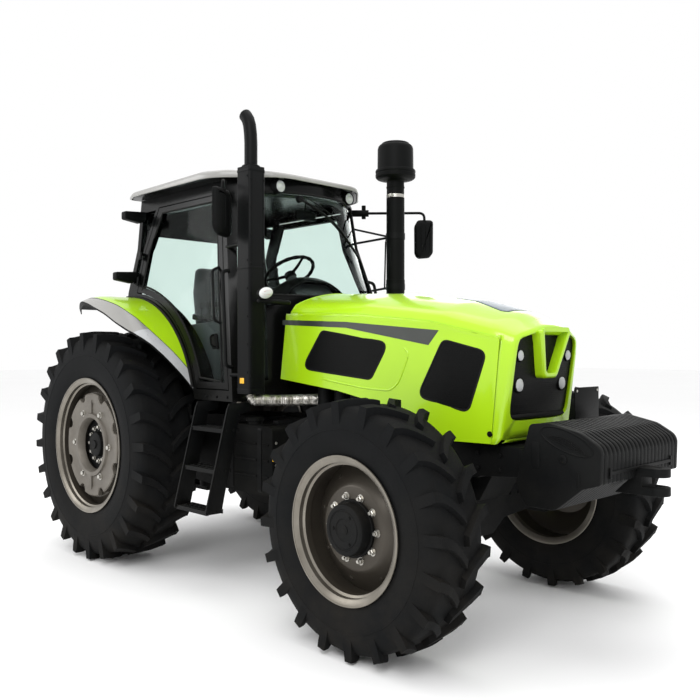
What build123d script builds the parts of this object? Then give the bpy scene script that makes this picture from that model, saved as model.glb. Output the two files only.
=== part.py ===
from build123d import *
import os
from math import asin, atan2, cos, degrees, pi, radians, sin, sqrt, tan

# Farm tractor, four driven wheels, closed cab. Millimetres.
# Modelled about the point on the floor under the middle of the rear axle:
# +X forward, +Y to the driver's left, +Z up. Written out about the middle of its length.

# ---- Driving dimensions ----------------------------------------------------------------
WHEELBASE = 2825.0
FRONT_END = WHEELBASE + 1195.0  # nose of the front hitch
REAR_END = -1230.0  # rear of the lower-link balls
ORIGIN_X = (FRONT_END + REAR_END) / 2

REAR_WHEEL_Y = 877.0  # centre plane of each rear wheel
REAR_TYRE_R = 865.0  # over the lugs, and so the axle's height
REAR_TYRE_WIDTH = 467.0
REAR_LUG_HEIGHT = 38.0
REAR_LUG_COUNT = 24  # on each side of the tread
REAR_RIM_R = 508.0
REAR_RIM_WIDTH = 440.0

FRONT_WHEEL_Y = 950.0
FRONT_TYRE_R = 668.0
FRONT_TYRE_WIDTH = 378.0
FRONT_LUG_HEIGHT = 34.0
FRONT_LUG_COUNT = 20
FRONT_RIM_R = 382.0
FRONT_RIM_WIDTH = 369.0

KINGPIN_Y = 800.0
KINGPIN_R = 26.0
STEER_ARM = 200.0  # kingpin to the track rod's eye

FIT = 0.05  # radial clearance of a shaft in its bore
SEAT = 0.3  # between pieces that seat on each other but move apart
DOOR_GAP = 8.0  # all round a door in its opening
LID_GAP = 6.0  # between the bonnet and the fixed panels
BAR = 22.0  # thickness of bar work and brackets

# ---- Small helpers ---------------------------------------------------------------------


def box(x, y, z):
    """Block between (low, high) pairs on each axis."""
    size = Box(x[1] - x[0], y[1] - y[0], z[1] - z[0])
    return Pos((x[0] + x[1]) / 2, (y[0] + y[1]) / 2, (z[0] + z[1]) / 2) * size


def face_of(corners, radius=0):
    """Flat face from its corners, each rounded by radius or by its own from a list."""
    if radius:
        return Face(FilletPolyline(*corners, radius=radius, close=True))
    return Face(Polyline(*corners, close=True))


def across(corners, y, radius=0):
    """Prism across the tractor, from an (x, z) outline, between a (low, high) pair."""
    face = Pos(0, y[0], 0) * (Plane.XZ * face_of(corners, radius))
    return extrude(face, amount=y[1] - y[0], dir=(0, 1, 0))


def upright(corners, z, radius=0):
    """Prism upwards, from an (x, y) outline."""
    return extrude(Pos(0, 0, z[0]) * face_of(corners, radius), amount=z[1] - z[0], dir=(0, 0, 1))


def along(corners, x, radius=0):
    """Prism along the tractor, from a (y, z) outline."""
    face = Pos(x[0], 0, 0) * (Plane.YZ * face_of(corners, radius))
    return extrude(face, amount=x[1] - x[0], dir=(1, 0, 0))


def rod(start, end, radius):
    """Round bar between two points."""
    run = Vector(*end) - Vector(*start)
    bar = Cylinder(radius, run.length, align=(Align.CENTER, Align.CENTER, Align.MIN))
    return Plane(origin=start, z_dir=run) * bar


def pipe(points, radius, bend):
    """Round tube along points, bent to one radius at each of them."""
    path = FilletPolyline(*points, radius=bend)
    section = Plane(origin=path @ 0, z_dir=path % 0) * Circle(radius)
    return sweep(section, path=path)


def lathe_y(profile, centre=(0, 0, 0)):
    """Turned about a line across the tractor, from (y, radius) corners."""
    face = face_of([(r, y) for y, r in profile])
    return Pos(*centre) * revolve(face, Axis.Y)


def lathe_z(profile, centre=(0, 0, 0)):
    """Turned about an upright line, from (radius, z) corners."""
    face = Plane.XZ * face_of(profile)
    return Pos(*centre) * revolve(face, Axis.Z)


def mirrored(solid):
    """The same piece on the tractor's other side."""
    return mirror(solid, about=Plane.XZ)


def both(solid):
    return [solid, mirrored(solid)]


def joined(pieces):
    """Pieces fused into one solid."""
    return pieces[0].fuse(*pieces[1:]) if len(pieces) > 1 else pieces[0]


def save(name, *pieces):
    solids = [s for piece in pieces for s in piece.solids()]
    for s in solids:
        s.label = name
    whole = Pos(-ORIGIN_X, 0, 0) * Compound(children=solids)
    export_step(whole, f"parts/{name}.step")


os.makedirs("parts", exist_ok=True)

# ---- Wheels ----------------------------------------------------------------------------


def flat_band(low, high, count):
    """Solid ring of flats about the Y axis between two (y, corner radius) ends."""
    rings = [[(r * cos(2 * pi * i / count), y, r * sin(2 * pi * i / count)) for i in range(count)]
             for y, r in (low, high)]
    sides = [Face(Polyline(rings[0][i - 1], rings[0][i], rings[1][i], rings[1][i - 1], close=True))
             for i in range(count)]
    ends = [Face(Polyline(*ring, close=True)) for ring in rings]
    return Solid(Shell(sides + ends))


def half_carcass(crown, section_r, half, bead_r, bead_half, count):
    """One side of a tyre, from its middle plane out, with one flat to each lug and an open bead."""
    edge = half * 0.86
    tread = flat_band((0, crown), (edge, crown), count).fuse(flat_band((edge, crown), (half, section_r), count))
    return tread - flat_band((bead_half, bead_r), (half, section_r), count)


def tyre(radius, width, lug_height, bead_r, bead_half, lug_count, lug_length, lug_width):
    """Agricultural drive tyre about the Y axis: two half carcasses, each with its row of lugs.

    The second half is the first one mirrored and turned half a lug's pitch.
    """
    half = width / 2
    crown = (radius - lug_height) / cos(pi / lug_count)  # its flats lie a lug's height inside the radius
    section_r = bead_r + (crown - bead_r) * 0.52  # where the sidewall bulges most
    # A lug's plan: from the middle of the tread, which leads at the tyre's top, back to the shoulder.
    # Local x runs round the tyre, local y across it.
    plan = [(lug_length / 2 - lug_width / 2, half * 0.03), (lug_length / 2 + lug_width / 2, half * 0.03),
            (lug_width / 2 - lug_length / 2, half * 0.98), (-lug_width / 2 - lug_length / 2, half * 0.98)]
    reach = (lug_length + lug_width) / 2
    top = sqrt(radius ** 2 - reach ** 2)  # so that a lug's far corner lies on the tyre's radius
    depth = lug_height * 1.9
    bar = Pos(0, 0, top - depth) * extrude(face_of(plan), amount=depth)
    lugs = [Rot(0, 360 * i / lug_count, 0) * bar for i in range(lug_count)]
    # Rings of flats start with a corner on the X axis, so a flat lies under the first lug only if
    # the ring is turned to suit.
    to_flat = 90.0 + 180.0 / lug_count
    bead_corner = bead_r / cos(pi / lug_count)  # its flats touch the rim's seat
    ring = Rot(0, to_flat, 0) * half_carcass(crown, section_r, half, bead_corner, bead_half, lug_count)
    bore = Rot(0, to_flat, 0) * flat_band((0, bead_corner), (half, bead_corner), lug_count)
    one = ring.fuse(*lugs) - bore
    other = Rot(0, 180.0 / lug_count, 0) * mirror(one, about=Plane.XZ)
    # Turned so that one lug's far corner stands on the floor.
    return Rot(0, 180 - degrees(atan2(reach, top)), 0) * one.fuse(other)


def rim_barrel(flange_r, width, seat_r, wall):
    """Rolled rim: slanted lips each side of a straight seat."""
    half = width / 2
    return lathe_y([
        (-half, flange_r),
        (-half + RIM_LIP, seat_r),
        (half - RIM_LIP, seat_r),
        (half, flange_r),
        (half - RIM_LIP * 0.6, seat_r - wall),
        (-half + RIM_LIP * 0.6, seat_r - wall),
    ])


REAR_SEAT_R = REAR_RIM_R - 28.0
FRONT_SEAT_R = FRONT_RIM_R - 28.0
RIM_WALL = 14.0
RIM_LIP = 20.0  # how far a flange leans out
REAR_HUB_SHAFT_R = 60.0
FRONT_SPINDLE_R = 70.0
REAR_DISC_FACE = REAR_RIM_WIDTH / 2 - 46.0  # from the wheel's centre plane
REAR_DISC_THICK = 40.0
REAR_SHAFT_IN = -240.0  # how far in the rear hub's shaft reaches
FRONT_DISC_FACE = FRONT_RIM_WIDTH / 2 - 90.0
FRONT_CAP_FACE = FRONT_RIM_WIDTH / 2 - 16.0
FRONT_HUB_BACK = -20.0


def rear_rim():
    """Rim, cast disc with eight scallops in its edge, and the hub with its shaft."""
    barrel = rim_barrel(REAR_RIM_R, REAR_RIM_WIDTH, REAR_SEAT_R, RIM_WALL)
    inner_r = REAR_SEAT_R - RIM_WALL
    face = REAR_DISC_FACE
    disc = lathe_y([
        (face - REAR_DISC_THICK, inner_r + 2.0), (face - REAR_DISC_THICK, 170.0),
        (face, 200.0), (face, inner_r + 2.0)])
    for i in range(8):
        notch = rod((0, face - 80, 0), (0, face + 40, 0), 46.0)
        disc = disc - Rot(0, 360 * (i + 0.5) / 8, 0) * Pos(0, 0, inner_r - 26.0) * notch
    hub = lathe_y([
        (REAR_SHAFT_IN, 0.0), (REAR_SHAFT_IN, REAR_HUB_SHAFT_R),
        (face - REAR_DISC_THICK - 40.0, REAR_HUB_SHAFT_R),
        (face - REAR_DISC_THICK - 40.0, 215.0), (face - REAR_DISC_THICK, 215.0),
        (face - REAR_DISC_THICK, 110.0), (face - 10.0, 95.0), (face - 10.0, 0.0)])
    return joined([barrel, disc, hub])


def front_rim():
    """Rim, dished disc on ten bolts, and the planetary hub with its round cap."""
    barrel = rim_barrel(FRONT_RIM_R, FRONT_RIM_WIDTH, FRONT_SEAT_R, RIM_WALL)
    inner_r = FRONT_SEAT_R - RIM_WALL
    face = FRONT_DISC_FACE
    dish = lathe_y([
        (face - 14.0, 120.0), (face, 120.0), (face, 215.0), (face + 34.0, inner_r + 2.0),
        (face + 18.0, inner_r + 2.0), (face - 14.0, 222.0)])
    hub = lathe_y([
        (FRONT_HUB_BACK, FRONT_SPINDLE_R + FIT), (FRONT_HUB_BACK, 150.0),
        (face + 18.0, 150.0), (FRONT_CAP_FACE, 132.0), (FRONT_CAP_FACE, 0.0), (60.0, 0.0),
        (60.0, FRONT_SPINDLE_R + FIT)])
    return joined([barrel, dish, hub])


REAR_AXLE_Z = REAR_TYRE_R
FRONT_AXLE_Z = FRONT_TYRE_R
rear_tyre = tyre(REAR_TYRE_R, REAR_TYRE_WIDTH, REAR_LUG_HEIGHT, REAR_SEAT_R, REAR_RIM_WIDTH / 2 - RIM_LIP,
                 REAR_LUG_COUNT, 140.0, 56.0)
front_tyre = tyre(FRONT_TYRE_R, FRONT_TYRE_WIDTH, FRONT_LUG_HEIGHT, FRONT_SEAT_R, FRONT_RIM_WIDTH / 2 - RIM_LIP,
                  FRONT_LUG_COUNT, 130.0, 52.0)
rear_wheel_rim = rear_rim()
front_wheel_rim = front_rim()
for side, y_sign in (("left", 1), ("right", -1)):
    turn = Rot(0, 0, 0) if y_sign > 0 else Rot(0, 0, 180)
    rear_at = Pos(0, y_sign * REAR_WHEEL_Y, REAR_AXLE_Z)
    front_at = Pos(WHEELBASE, y_sign * FRONT_WHEEL_Y, FRONT_AXLE_Z)
    save(f"tyre_rear_{side}", rear_at * rear_tyre)
    save(f"tyre_front_{side}", front_at * front_tyre)
    save(f"rim_rear_{side}", rear_at * turn * rear_wheel_rim)
    save(f"rim_front_{side}", front_at * turn * front_wheel_rim)

# ---- Driveline: engine, transmission, axles --------------------------------------------
FRAME_Z = 1060.0  # top of the front support, under the engine
SUPPORT_HALF = 285.0
CLUTCH_X = 1720.0
BLOCK_X = (CLUTCH_X, WHEELBASE - 85.0)
SUPPORT_REAR = WHEELBASE - 345.0
SUPPORT_FRONT = WHEELBASE + 505.0
HOUSING_HALF = 240.0
TRUMPET_END = REAR_WHEEL_Y - 205.0

engine = box(BLOCK_X, (-250.0, 250.0), (FRAME_Z + SEAT, 1600.0))
sump = across([(BLOCK_X[0] + 60, FRAME_Z + SEAT + 1), (BLOCK_X[0] + 60, 700.0), (CLUTCH_X + 380.0, 660.0),
               (SUPPORT_REAR - 40.0, 700.0), (SUPPORT_REAR - 40.0, FRAME_Z + SEAT + 1)], (-190.0, 190.0))
save("engine_block", engine + sump)

gearbox = across([
    (-270.0, 1010.0), (-270.0, 640.0), (-60.0, 560.0), (420.0, 520.0), (900.0, 560.0),
    (CLUTCH_X, 640.0), (CLUTCH_X, 1120.0), (1250.0, 1100.0), (420.0, 1080.0)],
    (-HOUSING_HALF, HOUSING_HALF))

trumpet = lathe_y([
    (HOUSING_HALF, 0.0), (HOUSING_HALF, 190.0), (HOUSING_HALF + 90.0, 125.0), (TRUMPET_END - 60.0, 125.0),
    (TRUMPET_END, 175.0), (TRUMPET_END, 0.0)], (0, 0, REAR_AXLE_Z))
shaft_reach = REAR_WHEEL_Y + REAR_SHAFT_IN
trumpet = trumpet - rod((0, shaft_reach - 5, REAR_AXLE_Z), (0, TRUMPET_END + 5, REAR_AXLE_Z),
                        REAR_HUB_SHAFT_R + FIT)
save("rear_axle_housing", *both(trumpet))

BEAM_X = (WHEELBASE - 85.0, WHEELBASE + 85.0)
LEG = 50.0
PIVOT_PIN_R = 36.0
# Front support: the casting that carries the engine's front, the axle's pivot and the weights.
pivot_z = 800.0
support = across([
    (SUPPORT_REAR, FRAME_Z), (SUPPORT_REAR, 900.0), (BEAM_X[0] - 80.0, 880.0), (BEAM_X[0] - LEG, pivot_z - 90.0),
    (BEAM_X[0] - SEAT, pivot_z - 90.0), (BEAM_X[0] - SEAT, 900.0), (BEAM_X[1] + SEAT, 900.0),
    (BEAM_X[1] + SEAT, pivot_z - 90.0), (BEAM_X[1] + LEG, pivot_z - 90.0), (BEAM_X[1] + 150.0, 880.0),
    (SUPPORT_FRONT, 900.0), (SUPPORT_FRONT, FRAME_Z)], (-SUPPORT_HALF, SUPPORT_HALF))
legs_side = box((BEAM_X[0] - 140.0, BEAM_X[1] + 190.0), (150.0, 400.0), (600.0, 870.0))
support = support - legs_side - mirrored(legs_side)
support = support + rod((BEAM_X[0] - 2, 0, pivot_z), (BEAM_X[1] + 2, 0, pivot_z), PIVOT_PIN_R)
save("front_support", support)

# Front axle: a beam between the support's two legs, with a fork at each end.
FORK_HALF = 105.0  # inside half height of the fork
EAR = 36.0
FORK_IN = KINGPIN_Y - 118.0
beam = along([(-FORK_IN, 600.0), (-300.0, 560.0), (-180.0, 480.0), (60.0, 480.0), (180.0, 560.0),
              (FORK_IN, 600.0), (FORK_IN, 740.0), (300.0, 760.0), (150.0, 860.0), (-150.0, 860.0),
              (-300.0, 760.0), (-FORK_IN, 740.0)], BEAM_X)
beam_parts = [beam]
ear_top = FRONT_AXLE_Z + FORK_HALF
for y_sign in (1, -1):
    inner, outer = y_sign * (FORK_IN - 50.0), y_sign * (KINGPIN_Y + 62.0)
    web = box(BEAM_X, tuple(sorted((inner, y_sign * FORK_IN))), (FRONT_AXLE_Z - FORK_HALF - EAR, ear_top + EAR))
    beam_parts.append(web)
    for low in (ear_top, FRONT_AXLE_Z - FORK_HALF - EAR):
        ear = box((WHEELBASE - 62.0, WHEELBASE + 62.0), tuple(sorted((inner, outer))), (low, low + EAR))
        beam_parts.append(ear)
axle = joined(beam_parts) - rod((BEAM_X[0] - 10, 0, pivot_z), (BEAM_X[1] + 10, 0, pivot_z), PIVOT_PIN_R + FIT)
for y_sign in (1, -1):
    axle = axle - rod((WHEELBASE, y_sign * KINGPIN_Y, FRONT_AXLE_Z - 200),
                      (WHEELBASE, y_sign * KINGPIN_Y, FRONT_AXLE_Z + 200),
                      KINGPIN_R + FIT)
save("front_axle", axle)

# Knuckle: swivel housing between the fork's ears, with kingpins, spindle and steering arm.
KNUCKLE_HALF = FORK_HALF - SEAT
spindle_end = FRONT_WHEEL_Y + 56.0
arm_half = 16.0
knuckle = joined([
    Pos(WHEELBASE, KINGPIN_Y, FRONT_AXLE_Z) * Cylinder(88.0, 2 * KNUCKLE_HALF),
    rod((WHEELBASE, KINGPIN_Y, FRONT_AXLE_Z - FORK_HALF - EAR),
        (WHEELBASE, KINGPIN_Y, FRONT_AXLE_Z + FORK_HALF + EAR), KINGPIN_R),
    rod((WHEELBASE, KINGPIN_Y, FRONT_AXLE_Z), (WHEELBASE, FRONT_WHEEL_Y + FRONT_HUB_BACK - 6.0, FRONT_AXLE_Z),
        98.0),
    rod((WHEELBASE, KINGPIN_Y, FRONT_AXLE_Z), (WHEELBASE, spindle_end, FRONT_AXLE_Z), FRONT_SPINDLE_R),
    box((WHEELBASE - STEER_ARM - 30, WHEELBASE), (KINGPIN_Y - 30.0, KINGPIN_Y + 30.0),
        (FRONT_AXLE_Z - arm_half, FRONT_AXLE_Z + arm_half))])
save("knuckle_left", knuckle)
save("knuckle_right", mirrored(knuckle))

rod_z = FRONT_AXLE_Z + arm_half + SEAT
track_x = WHEELBASE - STEER_ARM
track_rod = joined(
    [box((track_x - 26, track_x + 26), (y - 26, y + 26), (rod_z, rod_z + 30)) for y in (-KINGPIN_Y, KINGPIN_Y)]
    + [rod((track_x, -KINGPIN_Y, rod_z + 15), (track_x, KINGPIN_Y, rod_z + 15), 14.0),
       rod((track_x, -180, rod_z + 15), (track_x, 180, rod_z + 15), 34.0)])
save("steering_rod", track_rod)
drive = rod((1750.0, 0, 590.0), (BEAM_X[0] - SEAT, 0, 590.0), 45.0)
guard_bracket = box((1735.0, 1790.0), (-50, 50), (560.0, 660.0))
save("front_drive_shaft", joined([drive, guard_bracket]))

# ---- Bonnet ----------------------------------------------------------------------------
BONNET_WALL = 8.0
NOSE_X = WHEELBASE + 510.0
# Bonnet sections, front and rear of the engine: x, half width, shoulder height, crown height.
BONNET_SECTIONS = [
    (1500.0, 456.0, 1800.0, 1988.0),
    (WHEELBASE - 525.0, 442.0, 1775.0, 1952.0),
    (WHEELBASE + 75.0, 410.0, 1710.0, 1880.0),
    (WHEELBASE + 375.0, 366.0, 1640.0, 1800.0),
    (NOSE_X, 325.0, 1590.0, 1722.0),
]
BONNET_FLOOR = 1000.0  # below every lower edge
RECESS_DEPTH = 4.0  # of the panel let into the bonnet's top


def bonnet_lining(x, half, shoulder, crown):
    """Section of the bonnet's inside, in flats."""
    half, crown = half - BONNET_WALL, crown - BONNET_WALL
    eave = crown - (crown - shoulder) * 0.42
    corners = [(half, BONNET_FLOOR), (half, shoulder), (half * 0.84, eave), (half * 0.42, crown - 8.0)]
    right = [(x, y, z) for y, z in corners]
    left = [(x, -y, z) for y, z in corners]
    return Face(Polyline(*right, *left[::-1], close=True))


def bonnet_section(x, half, shoulder, crown, inset):
    """Closed section: upright sides, round shoulders, low crown."""
    half, crown = half - inset, crown - inset
    shoulder_y = half * 0.86
    eave = crown - (crown - shoulder) * 0.42
    mid = (half * 0.975, shoulder + (eave - shoulder) * 0.62)
    line = [
        Line((x, -half, BONNET_FLOOR), (x, -half, shoulder)),
        ThreePointArc((x, -half, shoulder), (x, -mid[0], mid[1]), (x, -shoulder_y, eave)),
        ThreePointArc((x, -shoulder_y, eave), (x, 0, crown), (x, shoulder_y, eave)),
        ThreePointArc((x, shoulder_y, eave), (x, mid[0], mid[1]), (x, half, shoulder)),
        Line((x, half, shoulder), (x, half, BONNET_FLOOR)),
        Line((x, half, BONNET_FLOOR), (x, -half, BONNET_FLOOR)),
    ]
    return Face(Wire([e.edge() for e in line]))


def bonnet_form(inset):
    rows = [(min(x, NOSE_X - inset), half, shoulder, crown) for x, half, shoulder, crown in BONNET_SECTIONS]
    return loft([bonnet_section(*row, inset) for row in rows], ruled=True)


bonnet_inside = loft([bonnet_lining(min(x, NOSE_X - BONNET_WALL), half, shoulder, crown)
                      for x, half, shoulder, crown in BONNET_SECTIONS], ruled=True)

bonnet_shell = bonnet_form(0.0) - bonnet_inside
# The seam between the lid and the fixed side panels, and the panels' lower edge.
SEAM = [(1440.0, 1842.0), (WHEELBASE - 539.0, 1801.0), (WHEELBASE - 19.0, 1748.0), (WHEELBASE + 420.0, 1650.0)]
SEAM_FOOT = (WHEELBASE + 371.0, 1075.0)
REAR_EDGE = [(1530.0, 1390.0), (1585.0, 1850.0), (1665.0, 2010.0)]
LOWER_EDGE = [(1530.0, 1390.0), (WHEELBASE - 748.0, 1329.0), (WHEELBASE - 345.0, 1255.0),
              (WHEELBASE - 1.0, 1077.0), (SEAM_FOOT[0], 1077.0)]
lid_half = LID_GAP / 2
lid_zone = across(
    [(x, z + lid_half) for x, z in [(1585.0, SEAM[0][1] - 7.0)] + SEAM[1:3]]
    + [(SEAM[3][0] + lid_half, SEAM[3][1] + lid_half), (SEAM_FOOT[0] + lid_half, SEAM_FOOT[1]),
       (NOSE_X + 265.0, SEAM_FOOT[1]), (NOSE_X + 265.0, 2100.0), (1700.0, 2100.0), REAR_EDGE[2], (1590.0, 1850.0)], (-600.0, 600.0))
panel_zone = across(
    [(1590.0, SEAM[0][1] - 9.0 - lid_half)] + [(x, z - lid_half) for x, z in SEAM[1:3]]
    + [(SEAM[3][0] - lid_half, SEAM[3][1] - lid_half)] + LOWER_EDGE[::-1], (0.0, 600.0))
MASK_HALF = 300.0
MASK_Z = (1225.0, 1672.0)
mask_outline = [(-MASK_HALF, MASK_Z[0] + 60), (-MASK_HALF + 50, MASK_Z[0]), (MASK_HALF - 50, MASK_Z[0]),
                (MASK_HALF, MASK_Z[0] + 60), (MASK_HALF, MASK_Z[1] - 60), (MASK_HALF - 70, MASK_Z[1]),
                (-MASK_HALF + 70, MASK_Z[1]), (-MASK_HALF, MASK_Z[1] - 60)]
mask_hole = along(mask_outline, (NOSE_X - 60.0, NOSE_X + 120.0), 28.0)
NOSE_LEAN = 60.0  # how far the nose's foot stands ahead of its top
MASK_DEPTH = 8.0  # mask behind the frame round it


def nose_wedge(back, front):
    """Wedge that leans with the nose, between two offsets from the bonnet's front wall."""
    return across([(NOSE_X + back, 1215.0), (NOSE_X + front + NOSE_LEAN, 1215.0), (NOSE_X + front, 1690.0),
                   (NOSE_X + back, 1690.0)], (-BONNET_SECTIONS[-1][1], BONNET_SECTIONS[-1][1]))


lip = upright([(SEAM_FOOT[0] + 20, -356.0), (NOSE_X + 20, -318.0), (NOSE_X + 74, -200.0), (NOSE_X + 74, 200.0),
               (NOSE_X + 20, 318.0), (SEAM_FOOT[0] + 20, 356.0)], (SEAM_FOOT[1], 1226.0))
frame_edge = [(NOSE_X - 40, -322.0), (NOSE_X + 22, -314.0), (NOSE_X + 74, -205.0), (NOSE_X + 74, 205.0),
              (NOSE_X + 22, 314.0), (NOSE_X - 40, 322.0)]
nose_frame = nose_wedge(-BONNET_WALL, 6.0) & upright(frame_edge, (1200.0, 1700.0))
brow = across([(NOSE_X - 8, 1676.0), (NOSE_X + 68, 1668.0), (NOSE_X + 68, 1684.0), (NOSE_X - 8, 1718.0)],
              (-300.0, 300.0)) & upright([(NOSE_X - 8, -290.0), (NOSE_X + 12, -280.0), (NOSE_X + 68, -120.0),
                                          (NOSE_X + 68, 120.0), (NOSE_X + 12, 280.0), (NOSE_X - 8, 290.0)],
                                         (1600.0, 1800.0))
# Tapered frame standing out from the middle of the nose, open in its middle.
centre_outer = along([(-78.0, 1436.0), (78.0, 1436.0), (162.0, 1680.0), (-162.0, 1680.0)],
                     (NOSE_X - BONNET_WALL, NOSE_X + 64.0), 18.0)
centre_inner = along([(-56.0, 1460.0), (56.0, 1460.0), (134.0, 1690.0), (-134.0, 1690.0)],
                     (NOSE_X - 20.0, NOSE_X + 80.0), 12.0)
recess = upright([(NOSE_X - 640.0, -50.0), (NOSE_X - 180.0, -175.0), (NOSE_X - 180.0, 175.0), (NOSE_X - 640.0, 50.0)],
                 (1700.0, 2000.0))
recess = recess & (bonnet_form(0.0) - Pos(0, 0, -RECESS_DEPTH) * bonnet_form(0.0))
lid = (bonnet_shell & lid_zone) + (lip - bonnet_form(0.0)) + (nose_frame - bonnet_form(0.0)) - mask_hole
lid = lid + (brow - bonnet_form(0.0)) + (centre_outer - centre_inner - bonnet_form(BONNET_WALL)) - recess
HINGE_X, HINGE_Z = 1585.0, 1890.0
HINGE_PIN_R = 8.0
ear = across([(HINGE_X - 14, HINGE_Z - 14), (HINGE_X + 14, HINGE_Z - 14), (1690.0, 1985.0), (1652.0, 1985.0)], (240.0, 252.0))
ear = ear & bonnet_form(BONNET_WALL / 2)
ear = ear + rod((HINGE_X, 240.0, HINGE_Z), (HINGE_X, 252.0, HINGE_Z), 16.0)
pin_hole = rod((HINGE_X, 200.0, HINGE_Z), (HINGE_X, 300.0, HINGE_Z), HINGE_PIN_R + FIT)
lid = joined([lid] + both(ear - pin_hole))
save("bonnet_lid", lid)

vent_rear = across([(WHEELBASE - 891.0, 1712.0), (WHEELBASE - 319.0, 1631.0), (WHEELBASE - 461.0, 1405.0),
                    (WHEELBASE - 1081.0, 1462.0)], (300.0, 600.0), 40.0)
vent_front = across([(WHEELBASE + 74.0, 1647.0), (WHEELBASE + 347.0, 1578.0), (WHEELBASE + 235.0, 1241.0),
                     (WHEELBASE - 107.0, 1318.0)], (300.0, 600.0), 40.0)
stays = joined([box((x, x + 40.0), (250.0 + SEAT, 600.0), (1480.0, 1496.0)) for x in (1620.0, WHEELBASE - 265.0)])
panel = (bonnet_shell & panel_zone) - vent_rear - vent_front + (stays & bonnet_form(BONNET_WALL / 2))
save("bonnet_side_panels", *both(panel))
vents = [bonnet_shell & vent_rear, bonnet_shell & vent_front]
save("side_vents", *[piece for vent in vents for piece in both(vent)])

mask_plate = along(mask_outline, (NOSE_X - 14.0, NOSE_X + 120.0), 28.0) & nose_wedge(-14.0, -2.0)
mask_plate = mask_plate - (centre_outer - centre_inner)
# Bare plate on two tabs low on the left of the nose.
front_plate = box((NOSE_X + 66.0, NOSE_X + 72.0), (150.0, 420.0), (1236.0, 1372.0))
tabs = [box((NOSE_X + 20.0, NOSE_X + 67.0), (y, y + 24.0), (1290.0, 1320.0)) for y in (170.0, 250.0)]
save("nose_mask", joined([mask_plate, front_plate] + tabs))
LAMPS = [(206.0, 1395.0, 50.0), (240.0, 1558.0, 34.0)]  # |y|, z, radius
lamps = []
for y, z, r in LAMPS:
    face_x = NOSE_X - 2.0 + NOSE_LEAN * (1690.0 - z) / 475.0
    lamp = rod((face_x - 24.0, y, z), (face_x + 8.0, y, z), r) - nose_wedge(-60.0, -2.0)
    lamps += both(lamp)
save("headlamps", *lamps)

# ---- Front weights and hitch -----------------------------------------------------------
WEIGHT_HALF = 430.0
WEIGHT_COUNT = 21
weight_pitch = 2 * WEIGHT_HALF / WEIGHT_COUNT
WEIGHT_X = WHEELBASE + 565.0  # rear foot of the weights
WEIGHT_OUTLINE = [(WEIGHT_X + x, z) for x, z in [(0.0, 870.0), (294.0, 783.0), (481.0, 966.0), (487.0, 1054.0),
                                                 (449.0, 1127.0), (170.0, 1222.0), (69.0, 1200.0)]]
body = across(WEIGHT_OUTLINE, (-WEIGHT_HALF, WEIGHT_HALF), 18.0)
slot_depth = 26.0
for i in range(1, WEIGHT_COUNT):
    y = -WEIGHT_HALF + i * weight_pitch
    groove = across([(WEIGHT_X - 10.0, 1260.0), (WEIGHT_X - 10.0, 1150.0), (WEIGHT_X + 90.0, 1172.0),
                     (WEIGHT_X + 166.0, 1222 - slot_depth), (WEIGHT_X + 436.0, 1127.0 - slot_depth),
                     (WEIGHT_X + 468.0, 1060.0), (WEIGHT_X + 500.0, 1060.0), (WEIGHT_X + 500.0, 1260.0)],
                    (y - 4.5, y + 4.5))
    body = body - groove
body = body - box((WEIGHT_X + 430.0, WEIGHT_X + 510.0), (-WEIGHT_HALF + 60, WEIGHT_HALF - 60), (985.0, 1010.0))
# Oval relief with a boss in it on each outer weight.
oval = Plane((WEIGHT_X + 240.0, WEIGHT_HALF - 10.0, 1060.0), x_dir=(0.94, 0, -0.34), z_dir=(0, 1, 0)) * Ellipse(
    185.0, 70.0)
relief = extrude(oval, amount=20.0) - rod((WEIGHT_X + 330.0, WEIGHT_HALF - 12.0, 1030.0),
                                          (WEIGHT_X + 330.0, WEIGHT_HALF + 12.0, 1030.0), 26.0)
body = body - relief - mirrored(relief)
save("front_weights", body)
carrier = box((SUPPORT_FRONT, WEIGHT_X + 50.0), (-300.0, 300.0), (905.0, 1055.0))
carrier = carrier - across(WEIGHT_OUTLINE, (-WEIGHT_HALF, WEIGHT_HALF), 18.0)
hitch = box((WEIGHT_X + 310.0, FRONT_END - 60.0), (-60.0, 60.0), (850.0, 990.0))
hitch = hitch + rod((FRONT_END - 60.0, 0, 850.0), (FRONT_END - 60.0, 0, 990.0), 60.0)
hitch = hitch - box((FRONT_END - 120.0, FRONT_END + 10.0), (-70.0, 70.0), (895.0, 945.0))
hitch = hitch - rod((FRONT_END - 60.0, 0, 800.0), (FRONT_END - 60.0, 0, 1000.0), 16.0)
hitch = hitch - across(WEIGHT_OUTLINE, (-WEIGHT_HALF, WEIGHT_HALF), 18.0)
save("front_hitch", carrier, hitch)

# ---- Cab -------------------------------------------------------------------------------
CAB_WALL = 45.0
CAB_FLOOR_Z = 1240.0
# Cab outlines in plan: height, rear x, half width, pillar x, front x at the middle.
CAB_LEVELS = [
    (CAB_FLOOR_Z, -110.0, 762.0, 1400.0, 1500.0),
    (2040.0, -50.0, 710.0, 1280.0, 1545.0),
    (2390.0, -42.0, 634.0, 1160.0, 1500.0),
    (2780.0, -35.0, 602.0, 1105.0, 1430.0),
]


def cab_level(z, rear, half, pillar, front, inset):
    rear, half, pillar, front = rear + inset, half - inset, pillar - inset * 0.4, front - inset
    line = [
        Line((rear, -half, z), (pillar, -half, z)),
        ThreePointArc((pillar, -half, z), (front, 0, z), (pillar, half, z)),
        Line((pillar, half, z), (rear, half, z)),
        Line((rear, half, z), (rear, -half, z)),
    ]
    return Face(Wire([e.edge() for e in line]))


def cab_form(inset):
    return loft([cab_level(*level, inset) for level in CAB_LEVELS], ruled=True)


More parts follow.
